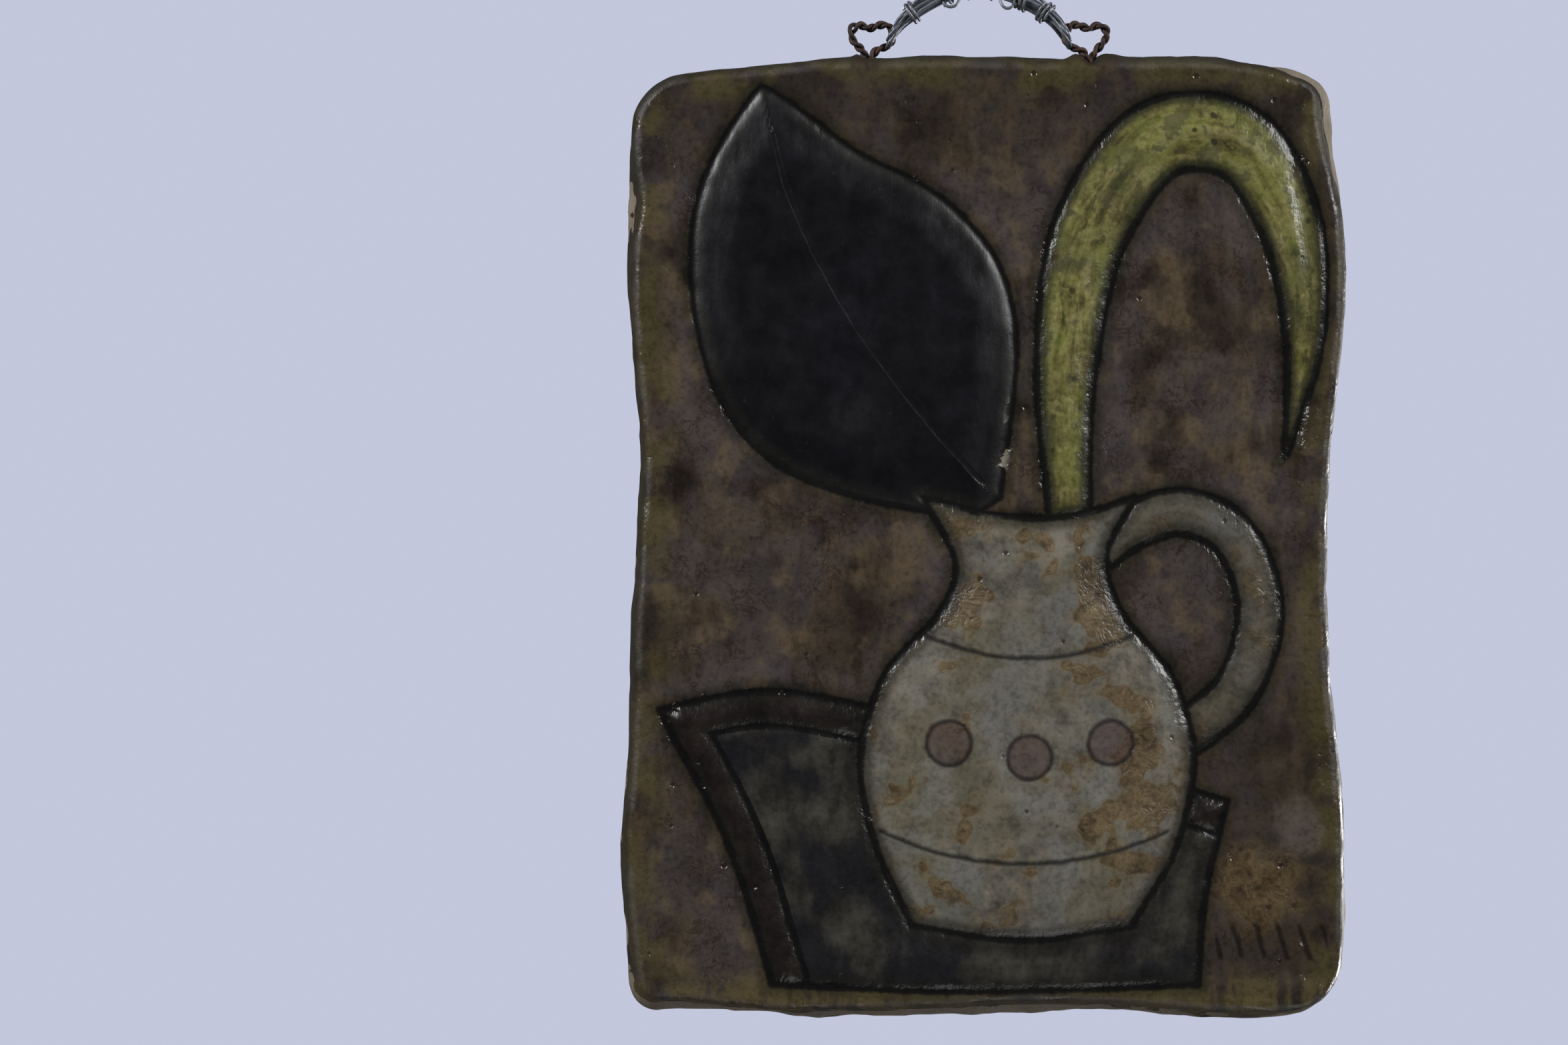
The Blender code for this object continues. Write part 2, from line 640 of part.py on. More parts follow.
def binding_mesh(place):
    """One turn of wire bound round the handle, at a place from -1 at its left hook to 1 at its right."""
    line, rise = handle_arch()
    i = int(np.argmin(np.abs(shares_along(line) - (place + 1) / 2)))
    centre = np.array([line[i][0], 0.0, line[i][1]])
    along = np.array([line[i + 1][0] - line[i - 1][0], 0.0, line[i + 1][1] - line[i - 1][1]])
    along /= np.linalg.norm(along)
    up = np.array([-along[2], 0.0, along[0]])
    tall = (HANDLE_HOOK_HEIGHT + (HANDLE_HEIGHT - HANDLE_HOOK_HEIGHT) * rise[i]) / 2 + BINDING_WIRE * 0.15
    thick = HANDLE_HOOK_LAYER + (HANDLE_DEPTH / 2 - HANDLE_HOOK_LAYER) * rise[i]
    deep = abs(handle_run(1)[i][1]) + thick / 2
    turn = np.linspace(0, 2 * math.pi, 12, endpoint=False)
    path = np.array([centre + up * tall * math.cos(a) + np.array([0, deep * math.sin(a), 0]) for a in turn])
    path += 0.8 * np.cos(turn)[:, None] * along
    normals = np.tile(along, (len(path), 1))
    return sweep(path, normals, np.full((len(path), 2), BINDING_WIRE / 2), True, sides=5)


def material(name, colour, roughness, metallic):
    """A plain finish."""
    made = bpy.data.materials.new(name)
    made.use_nodes = True
    shader = made.node_tree.nodes["Principled BSDF"]
    shader.inputs["Base Color"].default_value = (*colour, 1.0)
    shader.inputs["Roughness"].default_value = roughness
    shader.inputs["Metallic"].default_value = metallic
    return made


def add_object(name, mesh, finish, smooth=True):
    """Puts a mesh in the scene as a named object with one material."""
    data = bpy.data.meshes.new(name)
    mesh.to_mesh(data)
    mesh.free()
    thing = bpy.data.objects.new(name, data)
    bpy.context.scene.collection.objects.link(thing)
    data.materials.append(finish)
    if smooth:
        data.shade_smooth()
        data.set_sharp_from_angle(angle=math.radians(50))
    return thing


def combine(target, other, operation):
    """Joins another object to a target, or cuts it from the target, and hides the other."""
    step = target.modifiers.new(f"{operation.lower()} {other.name}", "BOOLEAN")
    step.operation = operation
    step.solver = "EXACT"
    step.object = other
    other.hide_render = True
    other.display_type = "WIRE"


def stem_hole(side, finish):
    """The cutter for the hole that an eyelet's stem is sunk in."""
    base = eyelet_base(side)
    heights = (-STEM_DEPTH - STEM_CLEARANCE, EYELET_HEIGHT)
    path = np.array([(base[0], 0.0, base[1] + h) for h in heights])
    radius = STEM_RADIUS + STEM_CLEARANCE
    normals = np.tile([1.0, 0.0, 0.0], (2, 1))
    name = "stem_hole_left" if side < 0 else "stem_hole_right"
    return add_object(name, sweep(path, normals, np.full((2, 2), radius), False, sides=12), finish)


def build():
    """Builds the slab, the two eyelets and the handle."""
    clear_scene()
    glaze = material("earth_glaze", (0.16, 0.12, 0.085), 0.3, 0.0)
    iron = material("rusted_iron", (0.12, 0.05, 0.03), 0.8, 0.6)
    steel = material("grey_steel", (0.32, 0.33, 0.36), 0.4, 0.9)
    slab = add_object("ceramic_plaque", slab_mesh(), glaze)
    for side, name in ((-1, "left_eyelet"), (1, "right_eyelet")):
        combine(slab, stem_hole(side, iron), "DIFFERENCE")
        eyelet = add_object(name, eyelet_mesh(side), iron)
        combine(eyelet, add_object(f"{name}_stem", stem_mesh(side), iron), "UNION")
    handle = add_object("wire_handle", handle_mesh(), steel)
    combine(handle, add_object("handle_core", core_mesh(), steel), "UNION")
    for i, place in enumerate(BINDING_PLACES):
        combine(handle, add_object(f"binding_{i + 1}", binding_mesh(place), steel), "UNION")


build()
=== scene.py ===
"""Looks of a hand-made glazed wall plaque, hung by a bound wire handle from two wire eyelets.

The slab's fine relief, its glazes and its bare clay are worked out from the same layout as the
solid: x right and z up, in millimetres from the middle of the slab. Meshes are written in metres.
"""

from __future__ import annotations

import logging
import math
from collections.abc import Callable
from dataclasses import dataclass, field
from enum import Enum
from functools import reduce

import bpy
import numpy as np
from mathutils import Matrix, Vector

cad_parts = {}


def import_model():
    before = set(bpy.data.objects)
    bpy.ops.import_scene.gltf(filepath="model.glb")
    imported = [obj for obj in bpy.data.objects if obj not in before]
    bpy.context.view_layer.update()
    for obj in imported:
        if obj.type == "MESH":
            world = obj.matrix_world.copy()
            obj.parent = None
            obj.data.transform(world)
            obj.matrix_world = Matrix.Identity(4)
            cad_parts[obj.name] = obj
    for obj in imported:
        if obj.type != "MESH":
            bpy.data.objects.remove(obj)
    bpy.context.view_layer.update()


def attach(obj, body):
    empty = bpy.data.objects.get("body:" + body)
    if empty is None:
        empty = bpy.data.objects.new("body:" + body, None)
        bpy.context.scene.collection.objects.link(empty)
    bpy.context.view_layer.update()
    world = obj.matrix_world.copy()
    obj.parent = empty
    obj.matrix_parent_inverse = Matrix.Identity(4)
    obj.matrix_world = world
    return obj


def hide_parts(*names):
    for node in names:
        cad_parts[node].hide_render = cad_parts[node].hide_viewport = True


Array = np.ndarray
Socket = bpy.types.NodeSocket
Bells = tuple[tuple[float, float, float], ...]
LOG = logging.getLogger("plaque")
MM = 0.001
# The handle beside the slab's middle, its crown above the top edge, and its bundle's height.
HANGER_OFFSET = -1.35
HANDLE_RISE = 19.3
HANDLE_HEIGHT = 5.4
GOLDEN_ANGLE = 2.399963
# Factors that scatter a lattice cell's place, and its seed, into a number without a pattern.
HASH_X, HASH_Z, HASH_SEED, HASH_SPREAD = 127.1, 311.7, 74.7, 43758.5453
SEED_SHIFT = (31.7, 17.3, 53.1)


class Corner(Enum):
    """The slab's corners and the radius that each was pressed to, in millimetres."""

    TOP_LEFT = 13.0
    TOP_RIGHT = 9.0
    BOTTOM_RIGHT = 12.0
    BOTTOM_LEFT = 8.0


class Side(Enum):
    """Which end of the handle a piece belongs to, as a sign along x."""

    LEFT = -1
    RIGHT = 1


# ---- shared curve and field maths


def ease(t: Array | float) -> Array:
    """A smooth step from 0 to 1."""
    t = np.clip(t, 0, 1)
    return t * t * (3 - 2 * t)


def bump_at(t: Array, middle: float, spread: float) -> Array:
    """A bell of height 1 about a middle."""
    return np.exp(-(((t - middle) / spread) ** 2))


def bumps(t: Array, bells: Bells) -> Array:
    """Bells added up, each given as its height, its middle and its spread."""
    return sum(height * bump_at(t, middle, spread) for height, middle, spread in bells)


def smooth_between(values: tuple[float, ...], share: Array) -> Array:
    """Reads even stations along a smooth cubic through each value.

    Args:
        values: The values at even stations.
        share: Where to read, from -1 at the first station to 1 at the last.

    Returns:
        The values read.
    """
    v = np.asarray(values, float)
    place = (np.clip(share, -1, 1) + 1) / 2 * (len(v) - 1)
    i = np.clip(np.floor(place).astype(int), 0, len(v) - 2)
    t = place - i
    before, here, after = v[np.maximum(i - 1, 0)], v[i], v[i + 1]
    beyond = v[np.minimum(i + 2, len(v) - 1)]
    slope = after - before
    bend = 2 * before - 5 * here + 4 * after - beyond
    twist = 3 * (here - after) + beyond - before
    return here + 0.5 * t * (slope + t * (bend + t * twist))


def stroke(points: list | Array, step: float) -> Array:
    """A smooth open curve through points, a centripetal Catmull-Rom spline.

    Args:
        points: The points that it passes through.
        step: The spacing of the points made, about.

    Returns:
        The points along the curve.
    """
    p = np.asarray(points, float)
    p = np.vstack([2 * p[0] - p[1], p, 2 * p[-1] - p[-2]])
    made = []
    for a, b, c, d in zip(p[:-3], p[1:-2], p[2:-1], p[3:]):
        t1 = math.sqrt(np.linalg.norm(b - a))
        t2 = t1 + math.sqrt(np.linalg.norm(c - b))
        t3 = t2 + math.sqrt(np.linalg.norm(d - c))
        count = max(2, round(np.linalg.norm(c - b) / step))
        t = np.linspace(t1, t2, count, endpoint=False)[:, None]
        ab = ((t1 - t) * a + t * b) / t1
        bc = ((t2 - t) * b + (t - t1) * c) / (t2 - t1)
        cd = ((t3 - t) * c + (t - t2) * d) / (t3 - t2)
        first = ((t2 - t) * ab + t * bc) / t2
        second = ((t3 - t) * bc + (t - t1) * cd) / (t3 - t1)
        made.append(((t2 - t) * first + (t - t1) * second) / (t2 - t1))
    return np.vstack(made + [p[-2:-1]])


def unit(vectors: Array) -> Array:
    """Vectors, or one, scaled to a length of 1."""
    return vectors / np.linalg.norm(vectors, axis=-1, keepdims=True)


def tangents(line: Array) -> Array:
    """Unit directions along a polyline."""
    return unit(np.gradient(line, axis=0))


def left_normals(line: Array) -> Array:
    """Unit normals to the left of a flat polyline."""
    along = tangents(line)
    return np.stack([-along[:, 1], along[:, 0]], -1)


def lengths_along(line: Array) -> Array:
    """The length of a polyline up to each of its points."""
    return np.concatenate([[0], np.cumsum(np.linalg.norm(np.diff(line, axis=0), axis=1))])


def shares_along(line: Array) -> Array:
    """Each point's share of the way along a polyline."""
    run = lengths_along(line)
    return run / run[-1]


def standing(flat: Array, y: Array | float) -> Array:
    """Flat (x, z) points stood up at a depth y."""
    return np.stack([flat[:, 0], np.broadcast_to(y, len(flat)), flat[:, 1]], -1)


def follow(line: Array, points: Array) -> tuple[Array, Array, Array]:
    """Where points lie beside an open polyline.

    Args:
        line: The polyline.
        points: The points to place.

    Returns:
        Each point's distance from the line, its side (1 on the left, -1 on the right), and the
        length of the line up to the nearest place on it.
    """
    nearest = np.full(len(points), np.inf)
    side = np.ones(len(points))
    run = np.zeros(len(points))
    gone = 0.0
    for a, b in zip(line[:-1], line[1:]):
        edge = b - a
        length = float(np.hypot(*edge))
        to = points - a
        t = np.clip(to @ edge / max(length * length, 1e-12), 0, 1)
        gap = np.linalg.norm(to - t[:, None] * edge, axis=1)
        closer = gap < nearest
        nearest = np.where(closer, gap, nearest)
        on_left = edge[0] * to[:, 1] - edge[1] * to[:, 0] >= 0
        side = np.where(closer, np.where(on_left, 1.0, -1.0), side)
        run = np.where(closer, gone + t * length, run)
        gone += length
    return nearest, side, run


def inside(closed: Array, points: Array) -> Array:
    """Whether each point is inside a closed outline, by counting the edges to its right."""
    odd = np.zeros(len(points), bool)
    for a, b in zip(closed, np.roll(closed, -1, axis=0)):
        rise = b[1] - a[1]
        if abs(rise) > 1e-12:
            crosses = (a[1] > points[:, 1]) != (b[1] > points[:, 1])
            odd ^= crosses & (points[:, 0] < a[0] + (points[:, 1] - a[1]) / rise * (b[0] - a[0]))
    return odd


def signed_distance(closed: Array, points: Array) -> Array:
    """Distance of each point from a closed outline, negative inside it."""
    gap = follow(np.vstack([closed, closed[:1]]), points)[0]
    return np.where(inside(closed, points), -gap, gap)


def clay_noise(
    points: Array, size: float, seed: int, stretch: tuple[float, float] = (1.0, 1.0)
) -> Array:
    """Smooth random hills, two octaves of value noise on a hashed lattice.

    Args:
        points: Flat places, in millimetres.
        size: The width of a hill, in millimetres.
        seed: Which pattern.
        stretch: How much longer the hills are along x and z.

    Returns:
        Heights from about -1 to 1.
    """
    total = np.zeros(len(points))
    for octave, share in ((1.0, 0.7), (2.1, 0.3)):
        place = points / (np.array(stretch) * size) * octave + seed * 7.31
        cell = np.floor(place)
        t = ease(place - cell)
        corners = []
        for dx, dz in ((0, 0), (1, 0), (0, 1), (1, 1)):
            mixed = (cell[:, 0] + dx) * HASH_X + (cell[:, 1] + dz) * HASH_Z + seed * HASH_SEED
            hashed = np.sin(mixed) * HASH_SPREAD
            corners.append(hashed - np.floor(hashed))
        low = corners[0] + (corners[1] - corners[0]) * t[:, 0]
        high = corners[2] + (corners[3] - corners[2]) * t[:, 0]
        total += share * (2 * (low + (high - low) * t[:, 1]) - 1)
    return total


# ---- the slab's outline and relief


@dataclass(frozen=True)
class SlabForm:
    """The slab's outline: a rounded rectangle whose sides were pressed in by hand."""

    half_width: float = 100.0
    half_height: float = 132.0
    thickness: float = 13.0
    lip_height: float = 4.2
    lip_rounding: float = 3.0
    back_chamfer: float = 1.2
    foot_height: float = 3.6
    left: tuple[float, ...] = (4.6, 2.6, 2.2, 2.4, 4.2, 5.8, 4.6, 3.3, 2.8, 1.6, 0.1, 1.6, 3.2)
    right: tuple[float, ...] = (4.8, 3.6, 1.0, 0.6, 2.6, 4.6, 5.6, 5.4, 4.2, 1.8, 0.7, 0.5, 2.6)
    top: tuple[float, ...] = (6.4, 4.2, 2.6, 0.8, 0.5, 0.1, 0.7, 0.6, 0.5, 0.4, 2.4, 5.2)
    bottom: tuple[float, ...] = (1.8, 2.3, 1.2, 0.1, 0.0, 0.6, 1.5, 1.6, 1.3, 0.4, 0.3, 3.4)
    flares: tuple[tuple[float, float, float, float], ...] = (
        (-1.0, 0.72, 2.2, 9.0),
        (1.0, 0.92, 3.0, 17.0),
        (-0.92, -1.0, 1.7, 14.0),
        (0.0, -1.0, 2.2, 75.0),
    )

    def rim(self, square: Array, inset: Array | float) -> Array:
        """The outline before it is pressed in.

        A point of the true rectangle is carried onto the rounded corner that it is nearest to.

        Args:
            square: Points on the edge of the square from -1 to 1.
            inset: How far inside the outline, in millimetres.

        Returns:
            The points in layout millimetres.
        """
        right, up = square[:, 0] >= 0, square[:, 1] >= 0
        radius = np.where(
            up,
            np.where(right, Corner.TOP_RIGHT.value, Corner.TOP_LEFT.value),
            np.where(right, Corner.BOTTOM_RIGHT.value, Corner.BOTTOM_LEFT.value),
        )
        half = np.array([self.half_width, self.half_height])
        core = np.clip(square * half, -(half - radius[:, None]), half - radius[:, None])
        facing = square * half - core
        facing /= np.linalg.norm(facing, axis=1)[:, None]
        return core + facing * (radius - inset)[:, None]

    def pressed(self, points: Array) -> Array:
        """Points of the true rectangle, carried inwards with its hand-pressed sides."""
        x, z = points[:, 0] / self.half_width, points[:, 1] / self.half_height
        across_x = np.where(x < 0, smooth_between(self.left, -z), smooth_between(self.right, -z))
        across_z = np.where(z > 0, smooth_between(self.top, x), smooth_between(self.bottom, x))
        return points - np.stack([x * across_x, z * across_z], -1)

    def clay_flare(self, points: Array) -> Array:
        """How far the bare clay reaches past the glazed face near each outline point."""
        reach = np.full(len(points), 0.7)
        for x_share, z_share, most, spread in self.flares:
            centre = np.array([x_share * self.half_width, z_share * self.half_height])
            reach += most * np.exp(-((np.linalg.norm(points - centre, axis=1) / spread) ** 2))
        return reach

    def top_edge(self, x: float) -> float:
        """Height of the slab's top edge at a place along it."""
        return self.half_height - float(smooth_between(self.top, np.array([x / self.half_width]))[0])

    def origin_height(self) -> float:
        """Layout height of the frame's origin, where the handle's crown rests on a nail."""
        return self.top_edge(HANGER_OFFSET) + HANDLE_RISE - HANDLE_HEIGHT / 2


@dataclass
class StillLife:
    """The relief: a jug on a cloth, a broad dark leaf and a long arching blade.

    Outlines run clockwise. Every field is in layout millimetres.
    """

    step: float = 2.0
    groove_depth: float = 0.42
    groove_half: float = 2.6
    pillow: float = 12.0
    hem_width: float = 9.5
    hem_rise: float = 0.8
    berry_radius: float = 6.2
    berries: tuple[tuple[float, float], ...] = ((-10, -56), (12, -60), (34, -56))
    bands: tuple[tuple[tuple[float, float], ...], ...] = (
        ((-16, -27), (11, -33), (40, -27)),
        ((-29, -80), (11, -89), (50, -80)),
    )
    rises: dict[str, float] = field(
        default_factory=lambda: {"jug": 2.6, "jug_handle": 1.9, "leaf": 2.4, "blade": 2.0, "cloth": 0.9}
    )

    def __post_init__(self) -> None:
        """Works out every outline once."""
        cloth = (
            [(-58, -122), (-70, -84), (-89, -47)],
            [(-89, -47), (-60, -42), (-24, -48), (20, -58), (66, -72)],
            [(66, -72), (60, -98), (58, -122)],
            [(58, -122), (0, -124), (-58, -122)],
        )
        blade = [(23, 4), (22, 44), (29, 84), (48, 109), (69, 108), (83, 86), (87, 54), (82, 22)]
        handle = [(31, -3), (40, 3), (53, 7), (67, 1), (75, -19), (69, -41), (57, -52), (46, -58)]
        leaf = [(0, 8), (-16, 30), (-38, 62), (-54, 92), (-61, 123)]
        self.blade_axis = stroke(blade, self.step)
        self.rib = stroke([(-1, 15), (-17, 33), (-38, 62), (-53, 92), (-58, 110)], self.step)
        self.hem_line = np.vstack([stroke(cloth[0], self.step)[:-1], stroke(cloth[1], self.step)])
        self.outlines: dict[str, Array] = {
            "jug": self.joined(
                [(-20, -106), (-30, -84), (-34, -60), (-27, -37), (-12, -20), (-8, -8), (-17, 11)],
                [(-17, 11), (4, 6), (24, 6), (41, 11)],
                [(41, 11), (33, -6), (37, -20), (51, -38), (57, -60), (52, -85), (40, -106)],
                [(40, -106), (10, -110), (-20, -106)],
            ),
            "jug_handle": self.strap(stroke(handle, self.step), 12.0),
            "leaf": self.leaf(stroke(leaf, self.step), 84.0, 0.44, 10.0),
            "blade": self.leaf(self.blade_axis, 21.0, 0.48, 11.0),
            "cloth": self.joined(*cloth),
        }

    def joined(self, *strokes: list) -> Array:
        """A closed outline from strokes that meet at its corners."""
        return np.vstack([stroke(s, self.step)[:-1] for s in strokes])

    def strap(self, line: Array, width: float) -> Array:
        """A strap of even width along an axis."""
        offset = left_normals(line) * width / 2
        return np.vstack([line + offset, (line - offset)[::-1]])

    def leaf(self, line: Array, width: float, fullest: float, base: float) -> Array:
        """A leaf whose half-width swells from its base to the fullest share, then runs to a point.

        The swell is half a wave, bent so that its crest falls at the fullest share, and made slimmer
        below it and fuller above it by a power.
        """
        t = shares_along(line)
        wave = np.sin(math.pi * t ** (math.log(0.5) / math.log(fullest)))
        bulge = wave ** np.where(t < fullest, 1.3, 0.85)
        half = np.where(t < fullest, base / 2 + (width - base) / 2 * bulge, width / 2 * bulge)
        offset = left_normals(line) * half[:, None]
        return np.vstack([line + offset, (line - offset)[::-1][1:]])

    def fields(self, points: Array) -> dict[str, Array]:
        """Signed distances that the height and the glazes are drawn from.

        Args:
            points: Layout points.

        Returns:
            For each shape, the signed distance to the part of it that no shape in front covers,
            and the same for the hem, the leaf's rib and the blade's axis.
        """
        made: dict[str, Array] = {}
        covered = np.full(len(points), -np.inf)
        for name, closed in self.outlines.items():
            own = signed_distance(closed, points)
            made[name] = np.maximum(own, covered)
            covered = np.maximum(covered, -own)
        made["hem"] = np.maximum(made["cloth"], follow(self.hem_line, points)[0] - self.hem_width)
        gap, side, _ = follow(self.rib, points)
        made["rib"] = gap * side
        gap, side, run = follow(self.blade_axis, points)
        made["blade_across"], made["blade_run"] = gap * side, run
        return made

    def height(self, points: Array, parts: dict[str, Array], thickness: float) -> Array:
        """Height of the face above the slab's back.

        A low swell, plus each shape's rise eased in over its pillow edge, less the grooves that
        follow every outline. A stylus pushes up a thin bank beside each groove.

        Args:
            points: Layout points.
            parts: The signed distances there.
            thickness: The slab's thickness.

        Returns:
            Heights in millimetres.
        """
        x, z = points[:, 0], points[:, 1]
        height = thickness + 0.35 * np.sin(x / 17 + z / 41) + 0.3 * np.sin(z / 23 - x / 60 + 1.3)
        for name, rise in self.rises.items():
            inward = np.clip(-parts[name] / self.pillow, 0, 1)
            height += rise * (ease(inward) + inward) / 2
        hem = parts["hem"]
        height += self.hem_rise * ease(-hem / (self.hem_width / 2))
        outlines = np.min([np.abs(parts[name]) for name in self.rises], axis=0)
        edge = np.minimum(outlines, np.where(hem < 1.0, np.abs(hem), np.inf))
        depth = self.groove_depth * (1 + 0.22 * clay_noise(points, 16.0, 3))
        height -= depth * ease(1 - edge / self.groove_half)
        return height + 0.06 * bump_at(edge, 3.8, 1.2) * (0.6 + 0.6 * clay_noise(points, 9.0, 4))


# ---- meshes


@dataclass
class Surface:
    """A mesh in the making: points, quads and the values carried by each point."""

    points: Array
    quads: Array
    values: dict[str, Array] = field(default_factory=dict)
    caps: list[list[int]] = field(default_factory=list)

    def joined(self, other: Surface) -> Surface:
        """This surface and another as one, with the other's numbers moved up."""
        moved = len(self.points)
        return Surface(
            np.vstack([self.points, other.points]),
            np.vstack([self.quads, other.quads + moved]),
            {k: np.concatenate([v, other.values[k]]) for k, v in self.values.items()},
            self.caps + [[i + moved for i in cap] for cap in other.caps],
        )

    def put(
        self, name: str, finish: bpy.types.Material, slot: str, stands_for: tuple[str, ...] = ()
    ) -> None:
        """Puts the surface in the scene as a piece that rides on the part.

        Args:
            name: The piece's name.
            finish: Its material.
            slot: The record's material slot; not used.
            stands_for: The solids that it replaces.
        """
        mesh = bpy.data.meshes.new(name)
        faces = self.quads.tolist() + self.caps
        mesh.from_pydata((self.points * MM).tolist(), [], faces)
        mesh.validate()
        for key, values in self.values.items():
            layer = mesh.attributes.new(key, "FLOAT", "POINT")
            layer.data.foreach_set("value", np.ascontiguousarray(values, dtype=np.float32))
        mesh.shade_smooth()
        mesh.set_sharp_from_angle(angle=math.radians(60))
        mesh.materials.append(finish)
        piece = bpy.data.objects.new(name, mesh)
        bpy.context.scene.collection.objects.link(piece)
        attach(piece, "root")
        if stands_for:
            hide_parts(*stands_for)
        LOG.info("%s: %d faces", name, len(faces))


def ring_quads(low: Array, high: Array) -> Array:
    """The quads between closed rings of point numbers, one ring to a row."""
    return np.stack([low, np.roll(low, -1, axis=1), np.roll(high, -1, axis=1), high], -1).reshape(-1, 4)


def carried(along: Array, first: Array) -> Array:
    """Carries a direction along a path without twisting it.

    At each station the direction of the one before is laid flat across the path again.

    Args:
        along: Unit tangents.
        first: The direction to start from, never along the path.

    Returns:
        A unit direction across the path at each station.
    """
    made = np.empty_like(along)
    last = first
    for i, tangent in enumerate(along):
        last = unit(last - tangent * float(last @ tangent))
        made[i] = last
    return made


def softened(path: Array, rounds: int) -> Array:
    """A path with its corners rounded: each round blends every station with its neighbours."""
    for _ in range(rounds):
        path = np.vstack([path[:1], (path[:-2] + 2 * path[1:-1] + path[2:]) / 4, path[-1:]])
    return path


def tube(path: Array, first: Array, radius: Array | float, sides: int = 8) -> Surface:
    """A round wire along an open path, capped at both ends.

    Each station's circle lies across the path, turned from the direction carried there.

    Args:
        path: Stations in millimetres.
        first: A direction across the path's start.
        radius: The wire's radius, or one for each station.
        sides: How many sides it has.

    Returns:
        The surface, with the length along it as the value run.
    """
    along = tangents(path)
    normal = carried(along, first)
    across = np.cross(along, normal)
    angle = np.linspace(0, 2 * math.pi, sides, endpoint=False)[None, :, None]
    radii = np.broadcast_to(radius, len(path))[:, None, None]
    ring = normal[:, None] * np.cos(angle) + across[:, None] * np.sin(angle)
    points = (path[:, None] + radii * ring).reshape(-1, 3)
    rows = np.arange(len(path) * sides).reshape(len(path), sides)
    values = {"run": np.repeat(lengths_along(path), sides)}
    return Surface(points, ring_quads(rows[:-1], rows[1:]), values, [rows[0][::-1].tolist(), rows[-1].tolist()])


# ---- shader maths


def operator(operation: str, turned: bool = False) -> Callable[[Shade, Shade | float], Shade]:
    """Makes a Python operator that adds a Math node.

    Args:
        operation: The node's operation.
        turned: Whether the other number comes first.

    Returns:
        The operator.
    """

    def apply(this: Shade, other: Shade | float) -> Shade:
        """The operation on this number and another."""
        return this.tree.math(operation, *((other, this) if turned else (this, other)))

    return apply


class Shade:
    """A number in a shader. Python operators on it add Math nodes."""

    __add__ = __radd__ = operator("ADD")
    __mul__ = __rmul__ = operator("MULTIPLY")
    __sub__, __rsub__ = operator("SUBTRACT"), operator("SUBTRACT", turned=True)
    __truediv__, __pow__ = operator("DIVIDE"), operator("POWER")
    least, most = operator("MINIMUM"), operator("MAXIMUM")

    def __init__(self, tree: Finish, socket: Socket) -> None:
        """Wraps a node's output."""
        self.tree = tree
        self.socket = socket

    def __abs__(self) -> Shade:
        """This without its sign."""
        return self.tree.math("ABSOLUTE", self)

    def rise(self, start: float, end: float) -> Shade:
        """A smooth step from 0 where this is at start to 1 where it is at end."""
        if start > end:
            return 1 - self.rise(end, start)
        made = self.tree.node(
            "ShaderNodeMapRange",
            {"interpolation_type": "SMOOTHSTEP"},
            {"Value": self, "From Min": start, "From Max": end},
        )
        return Shade(self.tree, made.outputs["Result"])

    def bell(self, middle: float, spread: float) -> Shade:
        """A soft band of height 1 where this is near a middle."""
        return abs(self - middle).rise(spread, 0.0)


@dataclass(frozen=True)
class Pigment:
    """A fired colour, in the 0 to 255 that a screen shows."""

    red: int
    green: int
    blue: int

    def linear(self) -> tuple[float, float, float, float]:
        """The colour as the shader takes it, off a screen's curve: straight near black, then a power."""
        share = np.array([self.red, self.green, self.blue]) / 255
        line = np.where(share <= 0.04045, share / 12.92, ((share + 0.055) / 1.055) ** 2.4)
        return (*(float(v) for v in line), 1.0)


